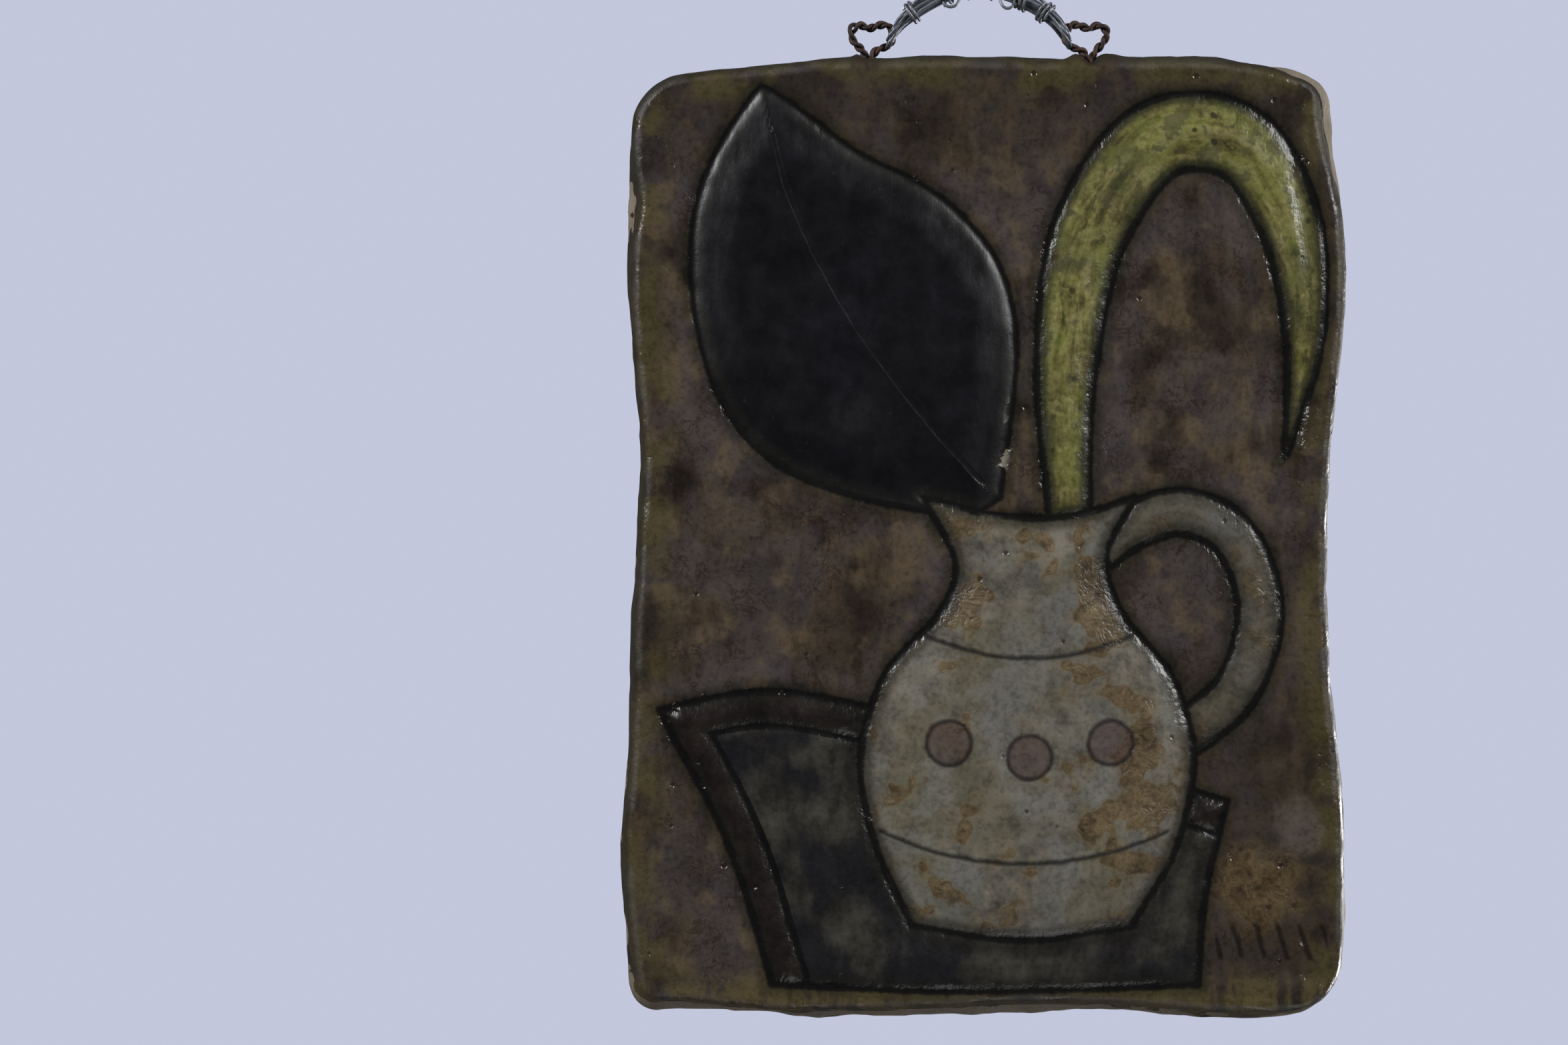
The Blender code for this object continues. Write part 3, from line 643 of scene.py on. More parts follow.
class Finish:
    """A material in the making, read in object millimetres."""

    def __init__(self, name: str) -> None:
        """Starts a material with a Principled shader and a coordinate in millimetres."""
        self.material = bpy.data.materials.new(name)
        self.material.use_nodes = True
        self.nodes = self.material.node_tree.nodes
        self.links = self.material.node_tree.links
        self.shader = self.nodes["Principled BSDF"]
        place = self.node("ShaderNodeTexCoord").outputs["Object"]
        scaled = self.node("ShaderNodeVectorMath", {"operation": "SCALE"}, {"Vector": place, "Scale": 1 / MM})
        self.place = scaled.outputs[0]
        parts = self.node("ShaderNodeSeparateXYZ", {}, {0: self.place})
        self.x, self.y, self.z = (Shade(self, parts.outputs[i]) for i in range(3))

    def feed(self, target: Socket, value: Shade | Pigment | Socket | tuple | float) -> None:
        """Links a value to an input, or sets a constant one on the input's own socket."""
        if isinstance(value, Shade):
            value = value.socket
        if isinstance(value, Pigment):
            value = value.linear()
        if isinstance(value, Socket):
            self.links.new(value, target)
        else:
            target.default_value = value

    def node(self, kind: str, settings: dict | None = None, sockets: dict | None = None) -> bpy.types.Node:
        """Adds a node.

        Args:
            kind: The node's type.
            settings: Its own settings, set first. stops fills a colour ramp.
            sockets: A value, colour, Shade or link for each input, by name or number.

        Returns:
            The node.
        """
        made = self.nodes.new(kind)
        for key, value in (settings or {}).items():
            if key == "stops":
                ramp = made.color_ramp
                while len(ramp.elements) < len(value):
                    ramp.elements.new(0.5)
                for element, (at, pigment) in zip(ramp.elements, value):
                    element.position = at
                    element.color = pigment.linear()
            else:
                setattr(made, key, value)
        for key, value in (sockets or {}).items():
            self.feed(made.inputs[key], value)
        return made

    def math(self, operation: str, *values: Shade | float) -> Shade:
        """A Math node on numbers or shades."""
        made = self.node("ShaderNodeMath", {"operation": operation}, dict(enumerate(values)))
        return Shade(self, made.outputs[0])

    def value(self, name: str) -> Shade:
        """A value carried by the mesh's points."""
        made = self.node("ShaderNodeAttribute", {"attribute_name": name, "attribute_type": "GEOMETRY"})
        return Shade(self, made.outputs["Fac"])

    def vector(self, x: Shade | float, y: Shade | float, z: Shade | float) -> Socket:
        """A vector of three numbers."""
        return self.node("ShaderNodeCombineXYZ", {}, {0: x, 1: y, 2: z}).outputs[0]

    def noise(
        self,
        size: float,
        detail: float,
        rough: float = 0.55,
        at: Socket | None = None,
        warp: float = 0.0,
        seed: float = 0.0,
    ) -> Shade:
        """Cloudy noise, from about 0.25 to 0.75.

        Args:
            size: The width of its largest patches, in millimetres.
            detail: How many finer octaves it has.
            rough: How strong the finer ones are.
            at: The coordinate, or the object's own.
            warp: How far the patches are pulled out of shape.
            seed: A shift that gives another pattern.

        Returns:
            The noise.
        """
        where = at or self.place
        if seed:
            shift = tuple(seed * axis for axis in SEED_SHIFT)
            where = self.node("ShaderNodeVectorMath", {"operation": "ADD"}, {0: where, 1: shift}).outputs[0]
        sockets = {"Vector": where, "Scale": 1 / size, "Detail": detail, "Roughness": rough, "Distortion": warp}
        return Shade(self, self.node("ShaderNodeTexNoise", {}, sockets).outputs[0])

    def cells(self, size: float) -> tuple[Shade, Shade]:
        """Cells of random shape.

        Args:
            size: The width of a cell, in millimetres.

        Returns:
            The distance to the cell's middle in millimetres, and a random number for each cell.
        """
        sockets = {"Vector": self.place, "Scale": 1 / size, "Randomness": 1.0}
        made = self.node("ShaderNodeTexVoronoi", {"feature": "F1"}, sockets)
        parts = self.node("ShaderNodeSeparateColor", {}, {0: made.outputs["Color"]})
        return Shade(self, made.outputs["Distance"]) * size, Shade(self, parts.outputs[0])

    def ramp(self, mask: Shade, *stops: tuple[float, Pigment]) -> Socket:
        """Colours spread along a number."""
        return self.node("ShaderNodeValToRGB", {"stops": stops}, {0: mask}).outputs[0]

    def mix(
        self, mask: Shade | float, low: Socket | Pigment, high: Socket | Pigment, way: str = "MIX"
    ) -> Socket:
        """The low colour where the mask is 0 and the high one where it is 1."""
        settings = {"data_type": "RGBA", "blend_type": way, "clamp_factor": True}
        return self.node("ShaderNodeMix", settings, {0: mask, 6: low, 7: high}).outputs[2]

    def over(
        self, colour: Socket | Pigment, *layers: tuple[Shade, Socket | Pigment]
    ) -> Socket | Pigment:
        """Lays colours over one another in turn, each through its own mask."""
        for mask, layer in layers:
            colour = self.mix(mask, colour, layer)
        return colour

    def dress(
        self, colour: Socket, roughness: Shade | float, height: Shade, metallic: float = 0.0
    ) -> bpy.types.Material:
        """Feeds the shader.

        Args:
            colour: The base colour.
            roughness: How matt it is.
            height: The fine relief, in millimetres.
            metallic: How metallic it is.

        Returns:
            The finished material.
        """
        bump = self.node("ShaderNodeBump", {}, {"Height": height, "Distance": MM, "Strength": 1.0})
        feeds = {"Base Color": colour, "Roughness": roughness, "Metallic": metallic, "Normal": bump.outputs[0]}
        for key, value in feeds.items():
            self.feed(self.shader.inputs[key], value)
        return self.material


# ---- glazes


@dataclass(frozen=True)
class Glaze:
    """One glaze: its colours from where it lies thick and dark to where it is thin and pale."""

    thick: Pigment
    dark: Pigment
    body: Pigment
    pale: Pigment
    thin: Pigment

    def colour(self, finish: Finish, mottle: Shade) -> Socket:
        """The glaze's colour from a mottling, 0.5 in its middle."""
        shades = (self.thick, self.dark, self.body, self.pale, self.thin)
        return finish.ramp(mottle, *zip((0.32, 0.42, 0.50, 0.58, 0.68), shades))


def glaze(*colours: tuple[int, int, int]) -> Glaze:
    """A glaze from its five colours, thick to thin."""
    return Glaze(*(Pigment(*colour) for colour in colours))


GROUND = glaze((36, 30, 26), (52, 45, 38), (72, 62, 52), (86, 74, 60), (100, 87, 70))
BLADE = glaze((66, 66, 38), (98, 94, 52), (122, 116, 68), (138, 131, 84), (152, 146, 104))
JUG = glaze((84, 81, 76), (98, 94, 86), (112, 107, 96), (122, 117, 106), (134, 130, 120))
LEAF = glaze((7, 7, 12), (8, 8, 13), (9, 9, 15), (11, 11, 18), (16, 16, 24))
CLOTH = glaze((40, 38, 35), (48, 46, 42), (58, 57, 51), (66, 65, 58), (76, 73, 64))
HEM = glaze((18, 15, 15), (24, 19, 19), (32, 25, 25), (40, 33, 31), (56, 48, 46))
AMBER = (
    (0.25, Pigment(52, 42, 31)),
    (0.50, Pigment(82, 67, 46)),
    (0.72, Pigment(104, 87, 60)),
    (0.93, Pigment(128, 112, 84)),
)


class PlaqueFinish:
    """The fired face: six glazes side by side, dark incised lines, pits, stains and bare clay.

    Masks run from 0 to 1, spots and spreads are in layout millimetres, and every noise lies about 0.5.
    """

    def __init__(self, art: StillLife) -> None:
        """Reads the distances that the mesh carries, and lays the noises and masks that are shared.

        Args:
            art: The relief, for its berries and bands.
        """
        self.art = art
        self.finish = Finish("fired_glazes")
        f = self.finish
        self.jug, self.jug_handle, self.leaf = map(f.value, ("jug", "jug_handle", "leaf"))
        self.blade, self.cloth, self.hem = map(f.value, ("blade", "cloth", "hem"))
        self.rib, self.across, self.along = map(f.value, ("rib", "blade_across", "blade_run"))
        self.edge, self.flare, self.side = map(f.value, ("edge", "flare", "side"))
        self.lx, self.lz = map(f.value, ("layout_x", "layout_z"))
        self.broad = f.noise(26.0, 2.0, 0.5)
        self.mottle = f.noise(8.0, 4.0, 0.6, seed=1.0)
        self.grain = f.noise(1.5, 2.0, 0.6, seed=2.0)
        self.brushed = f.noise(6.0, 4.0, 0.6, at=f.vector(f.x, f.y, f.z * 0.26), seed=3.0)
        self.patch = f.noise(13.0, 2.0, 0.5, seed=4.0)
        self.drift = f.noise(12.0, 3.0, 0.52, seed=5.0)
        self.fibres = 1 - abs(f.noise(5.0, 3.0, 0.7, warp=0.6, seed=6.0) - 0.5) * 7.0
        self.wander, self.speck = self.mottle - 0.5, self.grain - 0.5
        self.wet = self.patch.rise(0.49, 0.60)
        shapes = (self.jug, self.jug_handle, self.leaf, self.blade, self.cloth)
        self.gap = reduce(Shade.least, map(abs, shapes))
        self.in_cloth, self.in_hem = self.within(self.cloth), self.within(self.hem)
        self.in_blade, self.in_leaf = self.within(self.blade), self.within(self.leaf)
        self.in_jug = self.within(self.jug)
        self.pale = self.in_jug.most(self.within(self.jug_handle))
        self.stain = self.stained()
        self.pooled = self.stain.rise(0.55, 0.60) * self.pale
        self.line = self.gap.least(abs(self.hem) + self.hem.rise(0.9, 1.1) * 9.0)
        self.line = self.line + self.speck * 0.5 + self.wander * 1.2
        self.rib_cut = (abs(self.rib) + self.wander * 1.2).rise(1.0, 0.3) * self.leaf.rise(-1.0, -4.0)
        self.fill, self.ring = self.berries()
        self.banded = self.bands() * self.in_jug
        self.pressed = self.marks()
        pit, pick = f.cells(7.5)
        self.pits = (pit + self.wander * 2.0).rise(0.95, 0.35) * pick.rise(0.62, 0.66) * (1 - self.in_leaf)
        ragged = self.drift.rise(0.56, 0.60) * self.mottle.rise(0.47, 0.50)
        self.chip = self.leaf.bell(-0.2, 2.0) * ragged * self.lz.rise(44.0, 30.0) * self.lz.rise(12.0, 15.0)
        self.lip = self.edge.rise(4.0, 2.0)
        self.unglazed = self.bare()

    def within(self, distance: Shade) -> Shade:
        """1 inside a shape and 0 outside it, with an edge as ragged as a brushed one."""
        return (distance + self.speck * 0.5 + self.wander).rise(0.45, -0.45)

    def spot(self, x: float, z: float, wide: float, tall: float) -> Shade:
        """A soft ellipse on the slab, 1 in its middle."""
        gap = ((self.lx - x) / wide) ** 2.0 + ((self.lz - z) / tall) ** 2.0
        return (gap + self.wander * 2.4).rise(1.1, 0.2)

    def crawled(self) -> Shade:
        """Where the ground glaze pooled amber, low on the right."""
        return self.spot(74.0, -95.0, 17.0, 14.0).most(self.spot(-72.0, 4.0, 9.0, 13.0) * 0.3)

    def wrinkles(self) -> Shade:
        """Fine meandering cracks that the ground glaze drew up into, in patches."""
        return self.fibres.rise(0.72, 0.95) * self.drift.rise(0.50, 0.58)

    def stained(self) -> Shade:
        """Where rusty glaze pooled on the jug."""
        lean = self.spot(38.0, -74.0, 17.0, 24.0) + self.spot(28.0, -14.0, 9.0, 20.0)
        lean = lean + self.spot(-16.0, -96.0, 16.0, 10.0)
        near_rim = self.jug.rise(-10.0, -3.0) * 0.02
        return self.patch - 0.045 + near_rim + lean * 0.15 + self.wander * 0.16

    def berries(self) -> tuple[Shade, Shade]:
        """The three ringed berries on the jug: (inside, ring line)."""
        gaps = []
        for x, z in self.art.berries:
            reach = self.finish.math("SQRT", (self.lx - x) ** 2.0 + (self.lz - z) ** 2.0)
            gaps.append(reach + self.wander * 1.6)
        gap, radius = reduce(Shade.least, gaps), self.art.berry_radius
        return gap.rise(radius, radius - 1.0), gap.bell(radius - 0.2, 1.2)

    def bands(self) -> Shade:
        """The two incised bands round the jug, arcs that sag by the square of the way out."""
        made = []
        for (left, top), (_, low), (right, _) in self.art.bands:
            centre, half = (left + right) / 2, (right - left) / 2
            sag = low + (top - low) * (((self.lx - centre) / half) ** 2.0)
            ends = abs(self.lx - centre).rise(half + 0.8, half - 0.4)
            made.append((self.lz - sag + self.wander * 1.4).bell(0.0, 1.25) * ends)
        return reduce(Shade.most, made)

    def marks(self) -> Shade:
        """A row of shallow slanted strokes pressed low on the right."""
        slant = self.lx + self.lz * 0.32 + self.wander * 2.0
        line = abs(self.finish.math("FRACT", slant / 6.1) - 0.5).rise(0.2, 0.04)
        high = abs(self.lz + 110.5 + (self.broad - 0.5) * 6.0).rise(5.6, 4.0)
        return line * high * abs(self.lx - 78.0).rise(15.4, 15.0)

    def bare(self) -> Shade:
        """Where no glaze reached: down the sides where the clay stands out, and over the back."""
        reach = (self.flare + (self.drift - 0.5) * 5.0 + self.wander * 3.0).rise(1.2, 2.6)
        return (self.side * (0.55 + reach * 3.0) + self.wander * 0.6).rise(0.60, 0.78)

    def ground(self) -> Socket:
        """Wet-looking brown glaze streaked down the slab, purple-grey beside the shapes."""
        f = self.finish
        mottle = self.mottle * 0.22 + self.brushed * 0.40 + self.patch * 0.38
        halo = self.gap.rise(2.0, 4.0) * self.gap.rise(12.0, 6.0) * self.brushed.rise(0.42, 0.56)
        streaks = (self.broad * 0.5 + self.brushed * 0.5).rise(0.48, 0.60)
        # Painted shade: the ground is darkened towards the top edge and low on the right.
        dim = self.lz.rise(84.0, 122.0).most(self.lx.rise(48.0, 70.0) * self.lz.rise(0.0, -60.0))
        border = self.edge.rise(13.0, 5.0) * self.patch.rise(0.42, 0.56)
        low = self.lz.rise(-116.0, -126.0) * self.brushed.rise(0.62, 0.46)
        return f.over(
            GROUND.colour(f, (mottle - 0.5) * 1.25 + 0.5),
            (self.broad.rise(0.53, 0.43) * 0.6, Pigment(71, 65, 66)),
            (self.drift.rise(0.50, 0.36) * 0.6, Pigment(104, 89, 68)),
            (halo * 0.5, Pigment(74, 68, 72)),
            (streaks * 0.62, Pigment(40, 34, 29)),
            (self.wrinkles() * 0.6, Pigment(46, 31, 27)),
            # painted shade towards the top edge and low on the right
            (dim * 0.55, Pigment(42, 36, 30)),
            (border * 0.6, Pigment(82, 75, 46)),
            (low * 0.75, Pigment(98, 86, 56)),
            (self.spot(85.0, -79.0, 8.0, 10.0) * 0.4, Pigment(112, 105, 100)),
            (self.crawled() * 0.8, f.ramp(self.fibres * 0.3 + self.mottle * 0.9 - 0.04, *AMBER)),
            (self.grain.rise(0.62, 0.72) * 0.25, Pigment(36, 30, 26)),
        )

    def blade_colour(self) -> Socket:
        """Yellow-green glaze brushed along the blade, streaked with rust, green-black at its edges."""
        f = self.finish
        streak = f.noise(3.4, 4.0, 0.65, at=f.vector(self.across, self.along * 0.2, 0.0), warp=0.5)
        mottle = streak * 0.45 + self.mottle * 0.35 + self.drift * 0.2
        rust = streak.rise(0.60, 0.67) * self.broad.rise(0.5, 0.56)
        rim = (self.blade + (streak - 0.5) * 4.5).rise(-3.4, -1.3)
        gap, tint = f.cells(6.5)
        spots = (gap + self.speck).rise(1.15, 0.7) * tint.rise(0.74, 0.76)
        return f.over(
            BLADE.colour(f, (mottle - 0.5) * 2.4 + 0.51),
            (self.patch.rise(0.53, 0.62) * 0.55, Pigment(86, 76, 48)),
            (self.drift.rise(0.44, 0.57) * 0.5, Pigment(106, 114, 52)),
            (self.broad.rise(0.52, 0.62) * 0.5, Pigment(76, 78, 50)),
            (self.mottle.rise(0.54, 0.62) * 0.7, Pigment(66, 66, 40)),
            (self.mottle.rise(0.44, 0.36) * 0.5, Pigment(156, 152, 96)),
            (rust * 0.7, Pigment(104, 64, 36)),
            (rim * 0.7, Pigment(44, 46, 28)),
            (spots * 0.8, Pigment(42, 46, 28)),
        )

    def jug_colour(self) -> Socket:
        """Pale grey glaze with cool smudges and tortoiseshell pools whose rims are darker."""
        f = self.finish
        rim = (self.jug + self.wander * 6.0).rise(-4.0, -1.3)
        return f.over(
            JUG.colour(f, self.mottle * 0.6 + self.drift * 0.4),
            (self.drift.rise(0.53, 0.62) * 0.55, Pigment(90, 90, 86)),
            (self.broad.rise(0.50, 0.60) * 0.4, Pigment(104, 98, 74)),
            (self.patch.rise(0.46, 0.38) * 0.4, Pigment(122, 122, 120)),
            (self.stain.rise(0.515, 0.57) * 0.45, Pigment(122, 108, 80)),
            (self.stain.rise(0.55, 0.59) * 0.85, f.ramp(self.fibres * 0.3 + self.mottle * 0.9, *AMBER)),
            (self.stain.bell(0.572, 0.02) * 0.35, Pigment(80, 62, 40)),
            (rim * 0.5, Pigment(66, 62, 52)),
        )

    def leaf_colour(self) -> Socket:
        """Near-black satin glaze, with a cool smudge and worn specks towards its edge."""
        smudge = self.spot(-36.0, 34.0, 9.0, 7.0) * self.drift.rise(0.4, 0.6)
        worn = (self.grain + self.leaf.rise(-14.0, -2.0) * 0.05).rise(0.69, 0.75)
        return self.finish.over(
            LEAF.colour(self.finish, self.broad * 0.6 + self.mottle * 0.4),
            (smudge * 0.4, Pigment(42, 42, 44)),
            (worn * 0.5, Pigment(40, 39, 38)),
        )

    def cloth_colour(self) -> Socket:
        """Olive-grey slip under broad strokes of near-black indigo."""
        strokes = self.drift * 0.35 + self.broad * 0.65 + (self.brushed - 0.5) * 0.4
        return self.finish.over(
            CLOTH.colour(self.finish, self.wander * 0.7 + self.brushed * 0.6 + 0.2),
            (strokes.rise(0.40, 0.56) * 0.9, Pigment(24, 23, 29)),
            (self.cloth.rise(-7.0, -2.0) * 0.5, Pigment(26, 24, 27)),
        )

    def clay_colour(self) -> Socket:
        """Bare fired clay, grey-buff with darker smudges."""
        return self.finish.over(
            Pigment(134, 124, 110),
            (self.mottle.rise(0.4, 0.6) * 0.6, Pigment(122, 110, 94)),
            (self.broad.rise(0.46, 0.60) * 0.45, Pigment(100, 88, 76)),
            (self.grain.rise(0.54, 0.66) * 0.5, Pigment(104, 92, 78)),
        )

    def colour(self) -> Socket:
        """Every glaze over the last, then the lines and the wear, and the bare clay over all."""
        f = self.finish
        glazed = f.over(
            self.ground(),
            (self.in_cloth, self.cloth_colour()),
            (self.in_hem, HEM.colour(f, self.brushed * 0.5 + self.mottle * 0.5)),
            (self.in_blade, self.blade_colour()),
            (self.in_leaf, self.leaf_colour()),
            (self.pale, self.jug_colour()),
            (self.fill * (self.mottle * 0.9 + 0.1), Pigment(76, 54, 54)),
            (self.ring * 0.85, Pigment(34, 26, 28)),
            (self.banded * 0.85, Pigment(30, 29, 29)),
            (self.line.rise(5.0, 1.0) * 0.6, Pigment(32, 31, 24)),
            (self.line.rise(1.6, 0.6).most(self.rib_cut * 0.5) * 0.93, Pigment(13, 13, 13)),
            (self.pressed * 0.8, Pigment(26, 21, 17)),
            (self.pits * 0.7, Pigment(32, 21, 18)),
            (self.chip, Pigment(132, 126, 112)),
        )
        tint = f.ramp(
            self.grain * 0.7 + self.mottle * 0.3,
            (0.34, Pigment(196, 192, 190)),
            (0.52, Pigment(246, 245, 243)),
            (0.66, Pigment(255, 255, 255)),
        )
        return f.over(
            f.mix(0.85, glazed, tint, "MULTIPLY"),
            (self.edge.rise(2.4, 0.4) * self.lz.rise(-128.0, -110.0) * 0.7, Pigment(40, 36, 27)),
            (self.unglazed, self.clay_colour()),
        )

    def roughness(self) -> Shade:
        """How matt each glaze is: duller where it is dark, stained or thin on the lip, and on the clay."""
        thin_lip = self.lip * (0.08 + self.drift.rise(0.40, 0.54) * 0.3)
        matt = 0.19 + self.wander * 0.3 + self.pooled * 0.15 + thin_lip
        matt = matt + self.in_leaf * 0.16 + self.in_cloth * 0.08 + self.in_blade * 0.10 + self.pale * 0.05
        return matt.most(0.1) * (1 - self.unglazed) + self.unglazed * 0.86

    def relief(self) -> Shade:
        """The fine relief in millimetres: lumps and brush drags, crusts, less every cut and pit.

        Grain is deeper where the glaze lay wet: near the rim, beside the shapes and on the lip.
        """
        not_pale, not_leaf = 1 - self.pale, 1 - self.in_leaf
        open_ground = (1 - self.in_cloth.most(self.in_blade)) * (1 - self.pale.most(self.in_leaf))
        near = (self.edge.rise(18.0, 9.0) * self.wet * 0.7).most(self.lip * 0.5)
        near = near.most(self.gap.rise(7.0, 2.0) * self.drift.rise(0.56, 0.64) * 0.55)
        near = near.most(self.drift.rise(0.55, 0.68) * open_ground * 0.12)
        fine = self.speck * (0.06 + near * 0.15) + self.wander * (0.5 + near * 0.4)
        drags = (self.brushed - 0.5) * 0.5 * not_pale
        crusted = (self.crawled() * (1 - self.in_cloth)).most(self.pooled)
        crust = (self.fibres - 0.5) * 0.12 * crusted.most(self.wet * 0.4 * not_pale * not_leaf)
        cuts = self.line.rise(1.8, 0.2) * 0.08 + self.rib_cut * 0.12 + self.pressed * 0.2
        cuts = cuts + (self.banded + self.ring) * 0.18
        wear = (self.pits + self.chip) * 0.2 + self.wrinkles() * open_ground * 0.02
        height = (fine + drags) * (1 - self.in_leaf * 0.75) + crust - cuts - wear
        return height * (1 - self.unglazed * 0.6) + self.unglazed * self.grain * 0.3

    def material(self) -> bpy.types.Material:
        """The finished material: its colour, its gloss and its fine relief."""
        return self.finish.dress(self.colour(), self.roughness(), self.relief())


def rust_finish() -> bpy.types.Material:
    """Iron wire gone brown with rust, flaky and mottled."""
    f = Finish("rusted_iron_wire")
    patch = f.noise(2.6, 5.0, 0.65)
    grain = f.noise(0.5, 4.0, 0.6, seed=2.0)
    colour = f.ramp(
        patch * 0.6 + grain * 0.4,
        (0.36, Pigment(28, 22, 21)),
        (0.47, Pigment(46, 33, 29)),
        (0.55, Pigment(66, 45, 36)),
        (0.64, Pigment(88, 62, 46)),
    )
    height = (grain - 0.5) * 0.12 + (patch - 0.5) * 0.1
    return f.dress(colour, 0.62 + (grain - 0.5) * 0.5, height, 0.25)


def steel_finish() -> bpy.types.Material:
    """Zinc-grey binding wire, drawn lengthwise, dulled in places."""
    f = Finish("zinc_grey_wire")
    cloud = f.noise(5.0, 4.0, 0.6)
    lengthwise = f.vector(f.x * 3.0, f.y * 3.0, f.value("run") * 0.12)
    drawn = f.noise(0.35, 3.0, 0.6, at=lengthwise, seed=3.0)
    colour = f.ramp(
        cloud * 0.5 + drawn * 0.5,
        (0.38, Pigment(76, 80, 87)),
        (0.5, Pigment(112, 116, 124)),
        (0.62, Pigment(150, 154, 162)),
    )
    return f.dress(colour, 0.36 + (cloud - 0.5) * 0.5, (drawn - 0.5) * 0.03, 0.45)


# ---- pieces


@dataclass
class Ring:
    """One closed row of points round the slab, from its face's border to the middle of its back.

    The edge values are the distance in from the rim, negative below the lip. The side is 0 on the
    lip, 1 at the foot and 2 on the back.
    """

    outline: Array
    level: Array
    edge: Array
    side: float


@dataclass
class GlazedPlaque:
    """The slab: a fine face grid, a rounded lip, its sides and its flat back, closed all round.

    Its ridges follow the rim, each a bell over the distance from it, and its pinches lift the top
    edge, each a bell along x.
    """

    form: SlabForm = field(default_factory=SlabForm)
    art: StillLife = field(default_factory=StillLife)
    across: int = 236
    down: int = 312
    lip_rows: int = 6
    side_rows: int = 4
    back_shares: tuple[float, ...] = (0.7, 0.35, 0.02)
    back_edge: float = -4.0
    ridges: Bells = ((0.55, 4.2, 1.5), (-0.6, 8.3, 2.0), (0.45, 12.8, 1.8))
    pinches: Bells = (
        (1.3, 24.9, 1.9),
        (1.1, 34.4, 3.2),
        (-1.6, 29.2, 1.5),
        (0.7, -34.8, 1.2),
        (0.35, 8.0, 5.0),
    )

    def face_square(self) -> tuple[Array, Array]:
        """The face grid as concentric squares: each point's way out on the square, and its share out."""
        u, v = np.meshgrid(np.linspace(-1, 1, self.across + 1), np.linspace(-1, 1, self.down + 1))
        flat = np.stack([u.ravel(), v.ravel()], -1)
        share = np.abs(flat).max(axis=1)
        return flat / np.maximum(share, 1e-9)[:, None], share

    def border(self) -> Array:
        """The numbers of the face grid's outer points, anticlockwise seen from the front."""
        grid = np.arange((self.across + 1) * (self.down + 1)).reshape(self.down + 1, self.across + 1)
        return np.concatenate([grid[0, :-1], grid[:-1, -1], grid[-1, :0:-1], grid[:0:-1, 0]])

    def handwork(self, points: Array, edge: Array) -> Array:
        """The maker's touch: soft ridges along the borders, finger dents and lumps.

        Args:
            points: Layout points.
            edge: Each point's distance from the rim.

        Returns:
            Heights in millimetres to add to the face.
        """
        x, z = points[:, 0], points[:, 1]
        beside = np.where(x > 0, 0.75, 0.5) * ease((np.abs(x) - 78) / 10) + 0.35 * ease((-z - 116) / 8)
        made = beside * bumps(edge, self.ridges) * (1 + 0.8 * clay_noise(points, 30.0, 11, (0.5, 1.6)))
        made += 0.28 * clay_noise(points, 15.0, 12) + 0.12 * clay_noise(points, 5.0, 13, (0.8, 1.5))
        near = np.exp(-(((x - 74) / 17) ** 2) - ((z + 90) / 17) ** 2)
        made -= 0.55 * near * np.maximum(clay_noise(points, 4.2, 14), 0)
        made += 0.9 * bump_at(x, 87, 8) * bump_at(z, -119, 8) * clay_noise(points, 3.8, 15)
        made += 0.8 * bump_at(x, -90, 8) * bump_at(z, -116, 9) * clay_noise(points, 4.2, 16)
        return made * ease(edge / 3.2)

    def edge_handwork(self, points: Array, drop: Array) -> Array:
        """Where the top edge was pinched round the eyelets, as a lift in z."""
        x, z = points[:, 0], points[:, 1]
        pinch = bumps(x, self.pinches) + 0.4 * ease((90 - np.abs(x)) / 15)
        return pinch * (z > 100) * drop

    def handled(self, outline: Array, level: Array, edge: Array) -> Array:
        """An outline below the face, swollen and pinched by the hand that pressed it."""
        lip = self.form.lip_rounding
        at = outline + level[:, None] * 1.3
        swell = 0.6 * clay_noise(at, 12.0, 21) + 0.25 * clay_noise(at, 4.5, 22)
        swell *= np.clip(1 - edge / lip, 0, 1) * (level > 0)
        outline = outline * (1 + swell / 110)[:, None]
        outline[:, 1] += self.edge_handwork(outline, np.clip((lip - edge) / 3, 0, 1))
        return outline

    def rings(self, square: Array, flare: Array, rim_height: Array) -> list[Ring]:
        """The rows that close the slab behind its face.

        The lip is a quarter ellipse, the sides run straight to the foot, and the back closes in
        rings to its middle.

        Args:
            square: The border's points on the square.
            flare: How far the clay stands out there.
            rim_height: The face's height there.

        Returns:
            The rings in turn.
        """
        form = self.form
        whole = np.ones(len(flare))
        rows: list[tuple[Array, Array, Array, float]] = []
        for k in range(1, self.lip_rows + 1):
            turn = math.pi / 2 * k / self.lip_rows
            inset = flare + form.lip_rounding * (1 - math.sin(turn))
            rows.append((inset, rim_height - form.lip_height * (1 - math.cos(turn)), inset - flare, 0.0))
        for k in range(1, self.side_rows + 1):
            t = k / self.side_rows
            level = (rim_height - form.lip_height) * (1 - t) + form.foot_height * t
            rows.append((flare * (1 - t), level, whole * (-2.5 * t), t))
        rows.append((whole * form.back_chamfer, whole * 0.0, whole * self.back_edge, 1.4))
        made = []
        for inset, level, edge, side in rows:
            outline = self.handled(form.pressed(form.rim(square, inset)), level, edge)
            made.append(Ring(outline, level, edge, side))
        back = form.pressed(form.rim(square, form.back_chamfer))
        for share in self.back_shares:
            made.append(Ring(back * share, whole * 0.0, whole * self.back_edge, 2.0))
        return made

